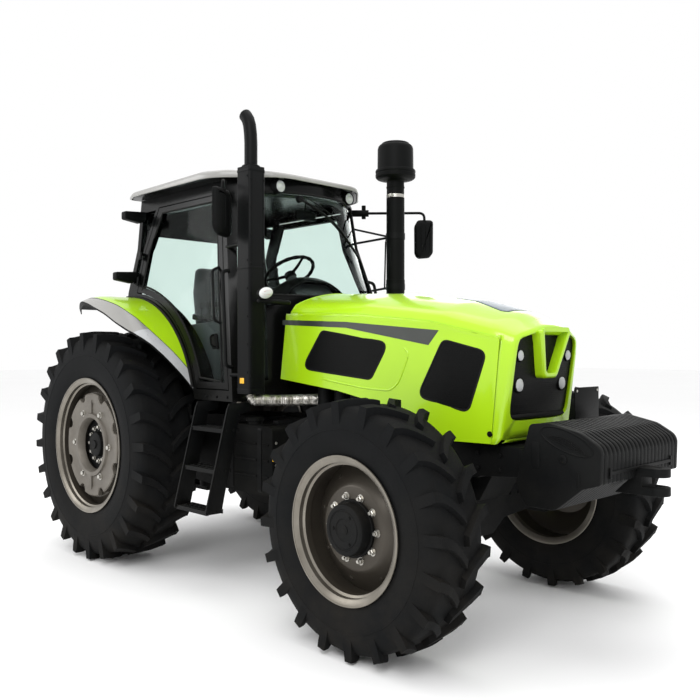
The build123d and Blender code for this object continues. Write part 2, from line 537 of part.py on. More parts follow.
ARCH_X, ARCH_Z = -20.0, 1000.0
FENDER_R = 1000.0
DOOR_ARCH_R = 1040.0
ARCH_IN = 600.0
cab_outer = cab_form(0.0)
cab_inner = cab_form(CAB_WALL)


def arch_disc(radius, y):
    return Pos(ARCH_X, 0, ARCH_Z) * rod((0, y[0], 0), (0, y[1], 0), radius)


cab_shell = cab_outer - (cab_inner & box((-400, 1900), (-900, 900), (CAB_FLOOR_Z + 60.0, 2740.0)))
arch = (arch_disc(FENDER_R + 30.0, (ARCH_IN - 20.0, 900.0)) & cab_outer)
arch = arch - box((-300, 2000), (-900, 900), (1000, CAB_FLOOR_Z))
cab = cab_shell + arch + mirrored(arch)
wheel_space = arch_disc(FENDER_R + SEAT, (ARCH_IN, 900.0))
cab = cab - wheel_space - mirrored(wheel_space)

# Door outline seen from the side: up the rear edge, along the roof, down the pillar.
DOOR_REAR = [(93.0, 2050.0), (96.0, 2380.0), (245.0, 2700.0)]
DOOR_FRONT = [(1050.0, 2700.0), (1108.0, 2390.0), (1225.0, 2040.0), (1345.0, 1312.0)]
DOOR_SILL_Z = 1312.0


def arch_point(radius, angle):
    return (ARCH_X + radius * cos(radians(angle)), ARCH_Z + radius * sin(radians(angle)))


def door_outline(inset):
    """Door edge moved inwards: rear pillar, roof rail, front pillar, sill, then over the wheel."""
    r = DOOR_ARCH_R + inset
    sill_z = DOOR_SILL_Z + inset
    sill_angle = degrees(asin((sill_z - ARCH_Z) / r))
    rear_x = DOOR_REAR[0][0] + inset
    rear_angle = degrees(atan2(sqrt(r ** 2 - (rear_x - ARCH_X) ** 2), rear_x - ARCH_X))
    foot = arch_point(r, sill_angle)
    heel = arch_point(r, rear_angle)
    mid = arch_point(r, (sill_angle + rear_angle) / 2)
    points = [heel, (rear_x, DOOR_REAR[1][1] - inset * 0.2), (DOOR_REAR[2][0] + inset * 0.9, DOOR_REAR[2][1] - inset),
              (DOOR_FRONT[0][0] - inset * 0.9, DOOR_FRONT[0][1] - inset), (DOOR_FRONT[1][0] - inset * 1.05, DOOR_FRONT[1][1]),
              (DOOR_FRONT[2][0] - inset, DOOR_FRONT[2][1]), (DOOR_FRONT[3][0] - inset, sill_z), foot]
    lines = [Line(a, b).edge() for a, b in zip(points, points[1:])]
    return Face(Wire(lines + [ThreePointArc(foot, mid, heel).edge()]))


def door_prism(inset):
    """Cut square to the door's hinge line, so that the door swings clear of its opening."""
    face = Pos(0, DOOR_Y, 0) * (Plane.XZ * door_outline(inset))
    return extrude(face, amount=300.0, dir=(0, 1, DOOR_LEAN), both=True)


DOOR_LEAN = 0.13  # how far the hinge line leans inwards, for each unit of height
DOOR_Y = 690.0  # where the door's outline is taken
DOOR_FRAME = 46.0
GLASS = 6.0
cab = cab - door_prism(-DOOR_GAP) - mirrored(door_prism(-DOOR_GAP))
door_slab = cab_outer - cab_inner
door = (door_slab & door_prism(0.0)) - door_prism(DOOR_FRAME)
glass_layer = cab_form(CAB_WALL / 2 - GLASS / 2) - cab_form(CAB_WALL / 2 + GLASS / 2)
door_glass = glass_layer & door_prism(DOOR_FRAME)
# Door hinges: a pin and knuckle on the pillar, an eye on the door, at two heights on the line.
DOOR_PIN_R = 8.0
HINGE_R = 14.0
DOOR_HINGE = (92.0, 712.0, 2100.0)
hinge_plane = Plane(origin=DOOR_HINGE, x_dir=(1, 0, 0), z_dir=(0, -DOOR_LEAN, 1))
door_eyes, pillar_knuckles = [], []
for z in (10.0, 210.0):
    eye = Cylinder(HINGE_R, 30.0) + Pos(20.0, -22.0, 0) * Box(28.0, 44.0, 30.0) - Cylinder(DOOR_PIN_R + FIT, 40.0)
    knuckle_top = Pos(0, 0, 30.0 + SEAT) * (Cylinder(HINGE_R, 30.0) + Pos(-17.0, -26.0, 0) * Box(22.0, 52.0, 30.0))
    pin = Pos(0, 0, 15.0) * Cylinder(DOOR_PIN_R, 60.0)
    door_eyes.append(hinge_plane * (Pos(0, 0, z) * eye))
    pillar_knuckles.append(hinge_plane * (Pos(0, 0, z) * (knuckle_top + pin)))
door = joined([door] + door_eyes)
save("door_left", door)
save("door_right", mirrored(door))
save("door_glass_left", door_glass)
save("door_glass_right", mirrored(door_glass))

# Windscreen, rear window and quarter windows.
screen_hole = along([(-560.0, 2690.0), (560.0, 2690.0), (590.0, 2390.0), (660.0, 2040.0), (655.0, 1960.0),
                     (-655.0, 1960.0), (-660.0, 2040.0), (-590.0, 2390.0)], (1120.0, 1700.0))
corner_hole = along([(500.0, 1925.0), (655.0, 1925.0), (700.0, 1380.0), (500.0, 1380.0)], (1290.0, 1700.0))
rear_hole = along([(-540.0, 2690.0), (540.0, 2690.0), (570.0, 2390.0), (640.0, 2080.0), (520.0, 1600.0),
                   (-520.0, 1600.0), (-640.0, 2080.0), (-570.0, 2390.0)], (-200.0, 5.0))
quarter_hole = across([(2.0, 2110.0), (58.0, 2110.0), (60.0, 2392.0), (196.0, 2680.0), (8.0, 2680.0)],
                      (300.0, 900.0))
cab = cab - screen_hole - rear_hole
for opening in both(quarter_hole) + both(corner_hole):
    cab = cab - opening
save("windscreen", glass_layer & screen_hole, *both(glass_layer & corner_hole))
save("rear_windows", glass_layer & rear_hole, *both(glass_layer & quarter_hole))
# Bonnet hinge: a pin either side on a bracket from the cab's front wall.
hinge_bracket = box((1460.0, HINGE_X + 10), (252.0 + SEAT, 272.0), (HINGE_Z - 14, HINGE_Z + 14))
hinge_pin = rod((HINGE_X, 238.0, HINGE_Z), (HINGE_X, 272.0, HINGE_Z), HINGE_PIN_R)
hinge_arm = (hinge_bracket - cab_inner) + hinge_pin
save("cab_frame", joined([cab] + both(hinge_arm) + [s for k in pillar_knuckles for s in both(k)]))

ROOF_OUTLINE = [(-75.0, -690.0), (60.0, -742.0), (1085.0, -742.0), (1460.0, -370.0), (1460.0, 370.0),
                (1085.0, 742.0), (60.0, 742.0), (-75.0, 690.0)]
ROOF_Z = CAB_LEVELS[-1][0] + SEAT
roof_prism = upright(ROOF_OUTLINE, (ROOF_Z, 2960.0), [60.0, 90.0, 260.0, 260.0, 260.0, 260.0, 90.0, 60.0])
roof_side = across([(-80.0, ROOF_Z - 1), (1240.0, ROOF_Z - 1), (1470.0, ROOF_Z - 1), (1470.0, 2815.0), (1180.0, 2880.0), (700.0, 2925.0),
                    (300.0, 2918.0), (-80.0, 2870.0)], (-800.0, 800.0))
roof_front = along([(-760.0, ROOF_Z - 1), (760.0, ROOF_Z - 1), (760.0, 2835.0), (560.0, 2915.0), (-560.0, 2915.0), (-760.0, 2835.0)],
                   (-100.0, 1500.0), [5.0, 5.0, 60.0, 200.0, 200.0, 60.0])
roof = roof_prism & roof_side & roof_front
save("roof", roof)
front_lamp = rod((1322.0, 338.0, 2730.0), (1396.0, 338.0, 2730.0), 48.0) - cab_form(-SEAT)

# ---- Fenders ---------------------------------------------------------------------------
FENDER_WALL = 10.0
FENDER_OUT = 1120.0
FENDER_FROM, FENDER_TO = 17.0, 110.0  # degrees above the horizontal, from the front
FENDER_TAIL = 330.0
fender_profile = face_of(
    [(FENDER_R, 640.0), (FENDER_R, 960.0), (975.0, 1050.0), (885.0, FENDER_OUT), (876.0, FENDER_OUT - 8.0),
     (975.0 - FENDER_WALL, 1042.0), (FENDER_R - FENDER_WALL, 955.0), (FENDER_R - FENDER_WALL, 640.0)])
start = Rot(0, -FENDER_FROM, 0) * fender_profile
fender = revolve(start, Axis((0, 0, 0), (0, -1, 0)), revolution_arc=FENDER_TO - FENDER_FROM)
tail_way = (-sin(radians(FENDER_TO)), 0, cos(radians(FENDER_TO)))
tail = extrude(Rot(0, -FENDER_TO, 0) * fender_profile, amount=FENDER_TAIL, dir=tail_way)
fender = Pos(ARCH_X, 0, ARCH_Z) * (fender + tail)
nip = [Line((790.0, 1130.0), (1200.0, 1130.0)), Line((1200.0, 1130.0), (1200.0, 790.0)),
       Line((1200.0, 790.0), (1000.0, 790.0)), ThreePointArc((1000.0, 790.0), (930.0, 985.0), (790.0, 1130.0))]
nip = extrude(Face(Wire([e.edge() for e in nip])), amount=3000.0)
fender = fender - nip - cab_form(-SEAT) - box((-400, 1200), (600, 701), (2200, 2400))
save("rear_fenders", *both(fender))

# ---- Steps, tank and boxes below the cab -----------------------------------------------
STEP_X = (1140.0, 1520.0)
STEP_BAR = 10.0
STEP_COUNT = 3


def side_steps():
    rake = (1010.0 - 800.0) / (1230.0 - 500.0)  # outwards for each millimetre down
    pieces = []
    for x in (STEP_X[0], STEP_X[1] - STEP_BAR):
        plate = [(690.0, CAB_FLOOR_Z - SEAT), (835.0, CAB_FLOOR_Z - SEAT), (1050.0, 500.0), (985.0, 500.0),
                 (786.0, 1190.0), (690.0, 1190.0)]
        pieces.append(along(plate, (x, x + STEP_BAR)))
    for i in range(STEP_COUNT):
        z = 505.0 + i * 265.0
        y = 985.0 - (z - 500.0) * rake
        pieces.append(box(STEP_X, (y - 90.0, y + 62.0), (z, z + 26.0)))
    return joined(pieces)


steps = side_steps()
save("access_steps", *both(steps))
tank_block = across([(1180.0, 1090.0), (1180.0, 640.0), (1700.0, 640.0), (1730.0, 700.0), (1730.0, 1090.0)],
                    (HOUSING_HALF + 90.0, 690.0), 40.0)
tank_straps = [box((x, x + 50.0), (HOUSING_HALF - 20.0, 560.0), (1090.0 + SEAT, 1115.0)) for x in (1260.0, 1580.0)]
save("fuel_tank", mirrored(tank_block))
save("battery_box", tank_block)

# ---- Exhaust and intake ----------------------------------------------------------------
EXHAUST = (1545.0, -720.0)
INTAKE = (1680.0, 540.0)
shroud = box((EXHAUST[0] - 70, EXHAUST[0] + 70), (EXHAUST[1] - 65, EXHAUST[1] + 65), (1300.0, 2780.0))
shroud = fillet(shroud.edges().filter_by(Axis.Z), 16.0)
clips = [rod((EXHAUST[0], EXHAUST[1], z), (x, -y, z), 14.0) for x, y, z in [(1360.0, 745.0, 1420.0), (1172.0, 640.0, 2300.0)]]
shroud_all = joined([shroud] + clips) - cab_form(-SEAT)
shroud_all = max(shroud_all.solids(), key=lambda s: s.volume)
save("exhaust_shroud", shroud_all)
tip = pipe([(EXHAUST[0], EXHAUST[1], 2780.3), (EXHAUST[0], EXHAUST[1], 3080.0), (EXHAUST[0] - 75.0, EXHAUST[1], 3140.0)], 43.0, 60.0)
flex = pipe([(1745.0, -250.3, 1255.0), (1745.0, -400.0, 1255.0), (1690.0, -580.0, 1255.0), (EXHAUST[0], EXHAUST[1], 1255.0), (EXHAUST[0], EXHAUST[1], 1299.7)],
            36.0, 37.0)
save("exhaust_pipe", tip, flex)
stack = lathe_z([(0, 1330.0), (68.0, 1330.0), (68.0, 2700.0), (75.0, 2702.0), (75.0, 2745.0), (62.0, 2750.0), (62.0, 2880.0),
                 (126.0, 2915.0), (131.0, 2925.0), (131.0, 3115.0), (112.0, 3140.0), (0, 3145.0)],
                (INTAKE[0], INTAKE[1], 0))
elbow = rod((INTAKE[0], 250.3, 1290.0), (INTAKE[0], INTAKE[1] + 40, 1290.0), 52.0)
brackets = [rod((INTAKE[0], INTAKE[1], z), (x, y, z), 12.0) for x, y, z in [(1225.0, 672.0, 2170.0), (1140.0, 622.0, 2440.0)]]
intake = joined([stack, elbow] + brackets) - cab_form(-SEAT)
intake = max(intake.solids(), key=lambda s: s.volume)
save("intake_stack", intake)

# ---- Mirrors and lamps on arms ---------------------------------------------------------
MIRRORS = [("left", 1550.0, 1030.0, 2480.0), ("right", 1470.0, -890.0, 2480.0)]
mirrors = []
for side, x, y, z in MIRRORS:
    sign = 1 if y > 0 else -1
    head = Pos(x, y, z) * Rot(0, 0, sign * -14.0) * Box(46.0, 190.0, 330.0)
    head = fillet(head.edges().filter_by(Axis.Z), 20.0)
    arm = pipe([(1060.0, sign * 585.0, 2690.0), (x, y, 2690.0), (x, y, 2560.0)], 12.0, 40.0)
    arm = arm - cab_form(-SEAT)
    arm = max(arm.solids(), key=lambda s: s.volume)
    mirrors.append(joined([head, arm]))
save("mirrors", *mirrors)


LAMP_R = 50.0
lamp_at = (1728.0, 735.0, 1948.0)
lamp_arm = pipe([(1400.0, 440.0, 1895.0), (1590.0, 600.0, 1910.0), (1700.0, 710.0, 1940.0)], 14.0, 60.0) - cab_form(-SEAT)
lamp_arm = max(lamp_arm.solids(), key=lambda s: s.volume)
puck = rod((lamp_at[0] - 30, lamp_at[1], lamp_at[2]), (lamp_at[0] + 30, lamp_at[1], lamp_at[2]), LAMP_R)
save("indicator_lamps", *both(lamp_arm + puck))

# Rear lamps on short brackets from the rear pillars: centre x, y, z, width, height.
REAR_LAMPS = [(-50.0, 925.0, ARCH_Z + FENDER_R + 150.0, 200.0, 110.0), (-12.0, 780.0, 2640.0, 200.0, 90.0)]
rear_lamps = []
for x, y, z, width, height in REAR_LAMPS:
    housing = fillet((Pos(x, y, z) * Box(80.0, width, height)).edges().filter_by(Axis.Z), 20.0)
    bracket = box((x - 20, x + 20), (500.0, y), (z - 12, z + 12))
    lamp = (housing + bracket) - cab_form(-SEAT)
    rear_lamps += both(max(lamp.solids(), key=lambda s: s.volume))
save("rear_lamps", *rear_lamps)
save("roof_lamps", *both(front_lamp))

# ---- Inside the cab --------------------------------------------------------------------
FLOOR_TOP = CAB_FLOOR_Z + 60.0
pedestal = box((330.0, 700.0), (-150.0, 150.0), (FLOOR_TOP + SEAT, 1600.0))
cushion = across([(270.0, 1600.3), (790.0, 1600.3), (790.0, 1715.0), (270.0, 1690.0)], (-250.0, 250.0), 30.0)
back = across([(160.0, 1612.0), (270.0 - SEAT, 1612.0), (270.0 - SEAT, 1700.0), (190.0, 2280.0), (80.0, 2280.0)],
              (-235.0, 235.0), 18.0)
save("operator_seat", pedestal, cushion, back)
console = across([(1180.0, FLOOR_TOP + SEAT), (1420.0, FLOOR_TOP + SEAT), (1400.0, 1980.0), (1290.0, 2075.0), (1200.0, 2040.0),
                  (1260.0, 1700.0)], (-190.0, 190.0))
STEER_AT = (1085.0, 0.0, 2165.0)
STEER_LEAN = 35.0  # of the steering column back from upright
STEER_SHAFT_R = 16.0
steer_plane = Plane(origin=STEER_AT, z_dir=(-sin(radians(STEER_LEAN)), 0, cos(radians(STEER_LEAN))))
column = steer_plane * (Pos(0, 0, -215.0) * Cylinder(40.0, 330.0))
shaft_bore = steer_plane * (Pos(0, 0, -110.0) * Cylinder(STEER_SHAFT_R + FIT, 130.0))
save("dashboard", (console + column) - shaft_bore)
ring = steer_plane * (Cylinder(210.0, 26.0) - Cylinder(182.0, 30.0))
hub = steer_plane * (Pos(0, 0, -22.0) * Cylinder(42.0, 30.0))
spokes = [steer_plane * (Rot(0, 0, a) * (Pos(95.0, 0, -12.0) * Box(190.0, 30.0, 10.0))) for a in (0, 120, 240)]
shaft = steer_plane * (Pos(0, 0, -95.0) * Cylinder(STEER_SHAFT_R, 150.0))
save("steering_wheel", joined([ring, hub, shaft] + spokes))

# ---- Rear hitch ------------------------------------------------------------------------
LIFT_AXIS = (-200.0, 1130.0)  # x, z
LIFT_SHAFT_R = 42.0
LIFT_ARM_END = (-520.0, 1190.0)
LINK_PIVOT = (-150.0, 600.0)
LINK_PIN_R = 16.0
LINK_MID = (-640.0, 572.0)
LINK_END = (REAR_END + 45.0, 560.0)
BALL_BORE_R = 18.7
BALL_Y = 482.5
LIFT_Y = (235.0, 265.0)
ROD_PIN_R = 12.0

lift_housing = box((-285.0, 80.0), (-205.0, 205.0), (1085.0, 1215.0))
lift_housing = lift_housing - rod((LIFT_AXIS[0], -300, LIFT_AXIS[1]), (LIFT_AXIS[0], 300, LIFT_AXIS[1]), LIFT_SHAFT_R + FIT)
housing_top = across([(-285.0, 1085.0), (80.0, 1085.0), (80.0, 1040.0), (-285.0, 1000.0)], (-205.0, 205.0))
arm_plate = []
for y in (LIFT_Y, (-LIFT_Y[1], -LIFT_Y[0])):
    plate_x = across([(LIFT_AXIS[0], LIFT_AXIS[1] - 55), (LIFT_AXIS[0] + 10, LIFT_AXIS[1] + 55),
                      (LIFT_ARM_END[0], LIFT_ARM_END[1] + 28), (LIFT_ARM_END[0], LIFT_ARM_END[1] - 28)], y)
    eye = rod((LIFT_ARM_END[0], y[0], LIFT_ARM_END[1]), (LIFT_ARM_END[0], y[1], LIFT_ARM_END[1]), 28.0)
    boss = rod((LIFT_AXIS[0], y[0], LIFT_AXIS[1]), (LIFT_AXIS[0], y[1], LIFT_AXIS[1]), 62.0)
    out = 42.0 if y[0] > 0 else -42.0
    face = y[1] if y[0] > 0 else y[0]
    pin = rod((LIFT_ARM_END[0], face, LIFT_ARM_END[1]), (LIFT_ARM_END[0], face + out, LIFT_ARM_END[1]), ROD_PIN_R)
    arm_plate += [plate_x, eye, boss, pin]
cross_shaft = rod((LIFT_AXIS[0], -LIFT_Y[0], LIFT_AXIS[1]), (LIFT_AXIS[0], LIFT_Y[0], LIFT_AXIS[1]), LIFT_SHAFT_R)
save("lift_arms", joined([cross_shaft] + arm_plate))

link = joined([
    rod((LINK_PIVOT[0], 285.0, LINK_PIVOT[1]), (LINK_PIVOT[0], 325.0, LINK_PIVOT[1]), 42.0),
    upright([(LINK_PIVOT[0], 293.0), (LINK_MID[0], 340.0), (LINK_END[0] + 30, BALL_Y - 14), (LINK_END[0] + 30, BALL_Y + 14),
             (LINK_MID[0], 368.0), (LINK_PIVOT[0], 321.0)], (500.0, 660.0)) & across(
                 [(LINK_PIVOT[0], LINK_PIVOT[1] + 34), (LINK_MID[0], LINK_MID[1] + 40), (LINK_END[0], LINK_END[1] + 30),
                  (LINK_END[0], LINK_END[1] - 30), (LINK_MID[0], LINK_MID[1] - 40), (LINK_PIVOT[0], LINK_PIVOT[1] - 34)], (200.0, 600.0)),
    rod((LINK_MID[0], 350.0, LINK_MID[1]), (LINK_MID[0], 377.0 - SEAT, LINK_MID[1]), 14.0),
    rod((LINK_END[0], BALL_Y - 22, LINK_END[1]), (LINK_END[0], BALL_Y + 22, LINK_END[1]), 45.0)])
link = link - rod((LINK_PIVOT[0], 200, LINK_PIVOT[1]), (LINK_PIVOT[0], 400, LINK_PIVOT[1]), LINK_PIN_R + FIT)
link = link - rod((LINK_END[0], 400, LINK_END[1]), (LINK_END[0], 600, LINK_END[1]), BALL_BORE_R)
save("lower_links", *both(link))
link_pin = rod((LINK_PIVOT[0], HOUSING_HALF, LINK_PIVOT[1]), (LINK_PIVOT[0], 340.0, LINK_PIVOT[1]), LINK_PIN_R)
link_foot = rod((LINK_PIVOT[0], HOUSING_HALF, LINK_PIVOT[1]), (LINK_PIVOT[0], 284.5, LINK_PIVOT[1]), 30.0)

rod_y = (LIFT_Y[1] + SEAT, LIFT_Y[1] + 30.0)
foot_y = (377.0, 392.0)
lift_rod = joined([
    rod((LIFT_ARM_END[0], rod_y[0], LIFT_ARM_END[1]), (LIFT_ARM_END[0], rod_y[1], LIFT_ARM_END[1]), 28.0),
    rod((LIFT_ARM_END[0], sum(rod_y) / 2, LIFT_ARM_END[1]), (LINK_MID[0], sum(foot_y) / 2 + 8, LINK_MID[1] + 60), 15.0),
    rod((LINK_MID[0], foot_y[0], LINK_MID[1]), (LINK_MID[0], foot_y[1], LINK_MID[1]), 26.0),
    box((LINK_MID[0] - 18, LINK_MID[0] + 18), foot_y, (LINK_MID[1], LINK_MID[1] + 80))])
lift_rod = lift_rod - rod((LIFT_ARM_END[0], 200, LIFT_ARM_END[1]), (LIFT_ARM_END[0], 400, LIFT_ARM_END[1]), ROD_PIN_R + FIT)
save("lift_rods", *both(lift_rod))

pto = rod((-270.0, 0, 720.0), (-300.0, 0, 720.0), 60.0) + rod((-300.0, 0, 720.0), (-375.0, 0, 720.0), 17.5)
TOP_BORE_R = 16.0
top_ears = [across([(-285.0, 1000.0), (-285.0, 1090.0), (-350.0, 1075.0), (-350.0, 1015.0)], y) for y in ((28.0, 52.0), (-52.0, -28.0))]
top_plate = box((-297.0, -285.0), (-60.0, 60.0), (1000.0, 1090.0))
top_hole = rod((-328.0, -100, 1045.0), (-328.0, 100, 1045.0), TOP_BORE_R)
bracket = joined(top_ears + [top_plate]) - top_hole
save("transmission_housing", joined([gearbox, lift_housing, housing_top, pto, bracket] + both(link_pin + link_foot)
                                    + [s for strap in tank_straps for s in both(strap)]))
drawbar = box((-640.0, 60.0), (-38.0, 38.0), (400.0, 434.0)) + rod((-640.0, 0, 400.0), (-640.0, 0, 434.0), 38.0)
drawbar = drawbar - rod((-640.0, 0, 300.0), (-640.0, 0, 500.0), 16.0)
hangers = [across([(x, 434.0), (x + 60, 434.0), (x + 60, 600.0), (x, 640.0)], (-70.0, 70.0)) for x in (-200.0, 0.0)]
save("drawbar", joined([drawbar] + hangers) - gearbox)
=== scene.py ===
import math
import random

import bmesh
import bpy
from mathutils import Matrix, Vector


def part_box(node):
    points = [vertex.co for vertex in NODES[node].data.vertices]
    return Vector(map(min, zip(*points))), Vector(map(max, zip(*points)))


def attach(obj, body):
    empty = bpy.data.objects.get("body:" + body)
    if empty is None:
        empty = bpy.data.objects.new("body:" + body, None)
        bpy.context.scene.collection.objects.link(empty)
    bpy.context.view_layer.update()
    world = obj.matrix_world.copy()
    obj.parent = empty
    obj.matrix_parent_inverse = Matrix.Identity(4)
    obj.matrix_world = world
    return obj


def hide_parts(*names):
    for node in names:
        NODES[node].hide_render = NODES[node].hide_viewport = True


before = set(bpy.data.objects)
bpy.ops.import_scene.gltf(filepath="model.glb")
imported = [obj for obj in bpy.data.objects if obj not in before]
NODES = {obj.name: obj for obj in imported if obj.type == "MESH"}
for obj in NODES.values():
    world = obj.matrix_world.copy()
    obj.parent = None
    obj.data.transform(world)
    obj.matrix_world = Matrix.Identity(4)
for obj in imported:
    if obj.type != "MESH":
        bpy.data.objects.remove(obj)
random.seed(11)
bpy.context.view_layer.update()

# All lengths below are in metres. x runs forward, y to the tractor's left, z up.
# Pieces are placed from the rear axle, whose x in the frame is read from the rear wheel.
low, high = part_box("rim_rear_left")
REAR_AXLE = Vector(((low.x + high.x) / 2, 0, (low.z + high.z) / 2))
low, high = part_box("rim_front_left")
FRONT_AXLE = Vector(((low.x + high.x) / 2, 0, (low.z + high.z) / 2))
REAR_WHEEL_Y = 0.877
FRONT_WHEEL_Y = 0.950


def at(x, y, z):
    """A point given from the rear axle's plan position, on the floor."""
    return Vector((REAR_AXLE.x + x, y, z))


def along_up(x, z, y):
    """A point of an outline seen from the side: along, up, then its depth across."""
    return at(x, y, z)


def across_up(y, z, x):
    """A point of an outline seen from the front: across, up, then its depth along."""
    return at(x, y, z)


def span_x(rear, front):
    """Both ends of a run along the tractor, as x in the frame."""
    return at(rear, 0, 0).x, at(front, 0, 0).x


def round_hub(centre, turn, radius, out):
    """A point at a radius round a wheel's centre, moved outwards."""
    return centre + Vector((math.sin(turn) * radius, out, math.cos(turn) * radius))


def turns(count, shift=0.0):
    """Angles of evenly spaced places round a circle, in radians."""
    return [2 * math.pi * (k + shift) / count for k in range(count)]


def shares(count):
    """Evenly spaced values from 0 to 1."""
    return [k / count for k in range(count + 1)]


# ---- Shader groups -----------------------------------------------------------------------
def group(name, inputs, outputs):
    tree = bpy.data.node_groups.new(name, "ShaderNodeTree")
    for label, kind, value in inputs:
        socket = tree.interface.new_socket(name=label, in_out="INPUT", socket_type=kind)
        socket.default_value = value
    for label, kind in outputs:
        tree.interface.new_socket(name=label, in_out="OUTPUT", socket_type=kind)
    return tree, tree.nodes.new("NodeGroupInput"), tree.nodes.new("NodeGroupOutput")


def node(tree, kind, **settings):
    made = tree.nodes.new(kind)
    for key, value in settings.items():
        setattr(made, key, value)
    return made


def link(tree, source, target):
    tree.links.new(source, target)


def arithmetic(tree, operation, first, second=None, clamp=False):
    step = node(tree, "ShaderNodeMath", operation=operation, use_clamp=clamp)
    for slot_index, value in enumerate((first, second)):
        if value is None:
            continue
        if isinstance(value, (int, float)):
            step.inputs[slot_index].default_value = value
        else:
            link(tree, value, step.inputs[slot_index])
    return step.outputs[0]


def noise_field(tree, place, scale, detail=3.0, rough=0.55):
    field = node(tree, "ShaderNodeTexNoise")
    field.inputs["Detail"].default_value = detail
    field.inputs["Roughness"].default_value = rough
    link(tree, place, field.inputs["Vector"])
    if isinstance(scale, (int, float)):
        field.inputs["Scale"].default_value = scale
    else:
        link(tree, scale, field.inputs["Scale"])
    return field.outputs["Fac"]


def ranged(tree, value, low_in, high_in, low_out=0.0, high_out=1.0):
    step = node(tree, "ShaderNodeMapRange")
    step.inputs["From Min"].default_value = low_in
    step.inputs["From Max"].default_value = high_in
    step.inputs["To Min"].default_value = low_out
    step.inputs["To Max"].default_value = high_out
    link(tree, value, step.inputs["Value"])
    return step.outputs["Result"]


def mixed(tree, factor, first, second):
    step = node(tree, "ShaderNodeMix", data_type="RGBA")
    for key, value in ((0, factor), (6, first), (7, second)):
        if isinstance(value, (int, float, tuple)):
            step.inputs[key].default_value = value
        else:
            link(tree, value, step.inputs[key])
    return step.outputs[2]


def make_field_dust():
    """Mask of dried dust: thick low down and on faces that look up, in soft patches."""
    tree, inside, out = group("field_dust", [
        ("Amount", "NodeSocketFloat", 0.4), ("Patch Scale", "NodeSocketFloat", 4.0),
        ("Fades By", "NodeSocketFloat", 1.6)], [("Mask", "NodeSocketFloat")])
    place = node(tree, "ShaderNodeTexCoord").outputs["Object"]
    patches = ranged(tree, noise_field(tree, place, inside.outputs["Patch Scale"], 6.0, 0.65), 0.35, 0.75)
    parts = node(tree, "ShaderNodeSeparateXYZ")
    link(tree, place, parts.inputs[0])
    fade = arithmetic(tree, "DIVIDE", parts.outputs["Z"], inside.outputs["Fades By"])
    depth = arithmetic(tree, "SUBTRACT", 1.0, fade, clamp=True)
    upward = node(tree, "ShaderNodeSeparateXYZ")
    link(tree, node(tree, "ShaderNodeTexCoord").outputs["Normal"], upward.inputs[0])
    lying = ranged(tree, upward.outputs["Z"], 0.1, 1.0, 0.0, 0.6)
    total = arithmetic(tree, "ADD", depth, lying)
    mask = arithmetic(tree, "MULTIPLY", arithmetic(tree, "MULTIPLY", total, patches),
                      inside.outputs["Amount"], clamp=True)
    link(tree, mask, out.inputs["Mask"])
    return tree


def make_tonal_drift():
    """Slow drift between two tones with fine specks, and a roughness that drifts with it."""
    tree, inside, out = group("tonal_drift", [("Tone", "NodeSocketColor", (0.5, 0.5, 0.5, 1)),
                                              ("Other Tone", "NodeSocketColor", (0.4, 0.4, 0.4, 1)),
                                              ("Scale", "NodeSocketFloat", 3.0),
                                              ("Roughness", "NodeSocketFloat", 0.4),
                                              ("Spread", "NodeSocketFloat", 0.1)],
                              [("Colour", "NodeSocketColor"), ("Roughness", "NodeSocketFloat")])
    place = node(tree, "ShaderNodeTexCoord").outputs["Object"]
    slow = ranged(tree, noise_field(tree, place, inside.outputs["Scale"], 4.0), 0.3, 0.7)
    colour = mixed(tree, slow, inside.outputs["Tone"], inside.outputs["Other Tone"])
    fine = noise_field(tree, place, 60.0, 5.0, 0.7)
    swing = arithmetic(tree, "MULTIPLY", arithmetic(tree, "SUBTRACT", fine, 0.5), inside.outputs["Spread"])
    rough = arithmetic(tree, "ADD", inside.outputs["Roughness"],
                       arithmetic(tree, "ADD", swing, arithmetic(tree, "MULTIPLY", slow, 0.04)), clamp=True)
    link(tree, colour, out.inputs["Colour"])
    link(tree, rough, out.inputs["Roughness"])
    return tree


def make_cast_skin():
    """Height of a sand-cast or moulded skin: coarse lumps with a fine tooth on them."""
    tree, inside, out = group("cast_skin", [
        ("Coarse Scale", "NodeSocketFloat", 40.0), ("Fine Scale", "NodeSocketFloat", 400.0),
        ("Fine Share", "NodeSocketFloat", 0.4)], [("Height", "NodeSocketFloat")])
    place = node(tree, "ShaderNodeTexCoord").outputs["Object"]
    coarse = noise_field(tree, place, inside.outputs["Coarse Scale"], 2.0)
    fine = noise_field(tree, place, inside.outputs["Fine Scale"], 3.0, 0.6)
    fine_part = arithmetic(tree, "MULTIPLY", fine, inside.outputs["Fine Share"])
    link(tree, arithmetic(tree, "ADD", coarse, fine_part), out.inputs["Height"])
    return tree


def make_wear_marks():
    """Mask of small chips and rubbed spots, sparse and sharp-edged."""
    tree, inside, out = group("wear_marks", [("Scale", "NodeSocketFloat", 24.0),
                                             ("Rarity", "NodeSocketFloat", 0.68)],
                              [("Mask", "NodeSocketFloat")])
    place = node(tree, "ShaderNodeTexCoord").outputs["Object"]
    field = noise_field(tree, place, inside.outputs["Scale"], 8.0, 0.75)
    over = arithmetic(tree, "SUBTRACT", field, inside.outputs["Rarity"])
    link(tree, arithmetic(tree, "MULTIPLY", over, 18.0, clamp=True), out.inputs["Mask"])
    return tree


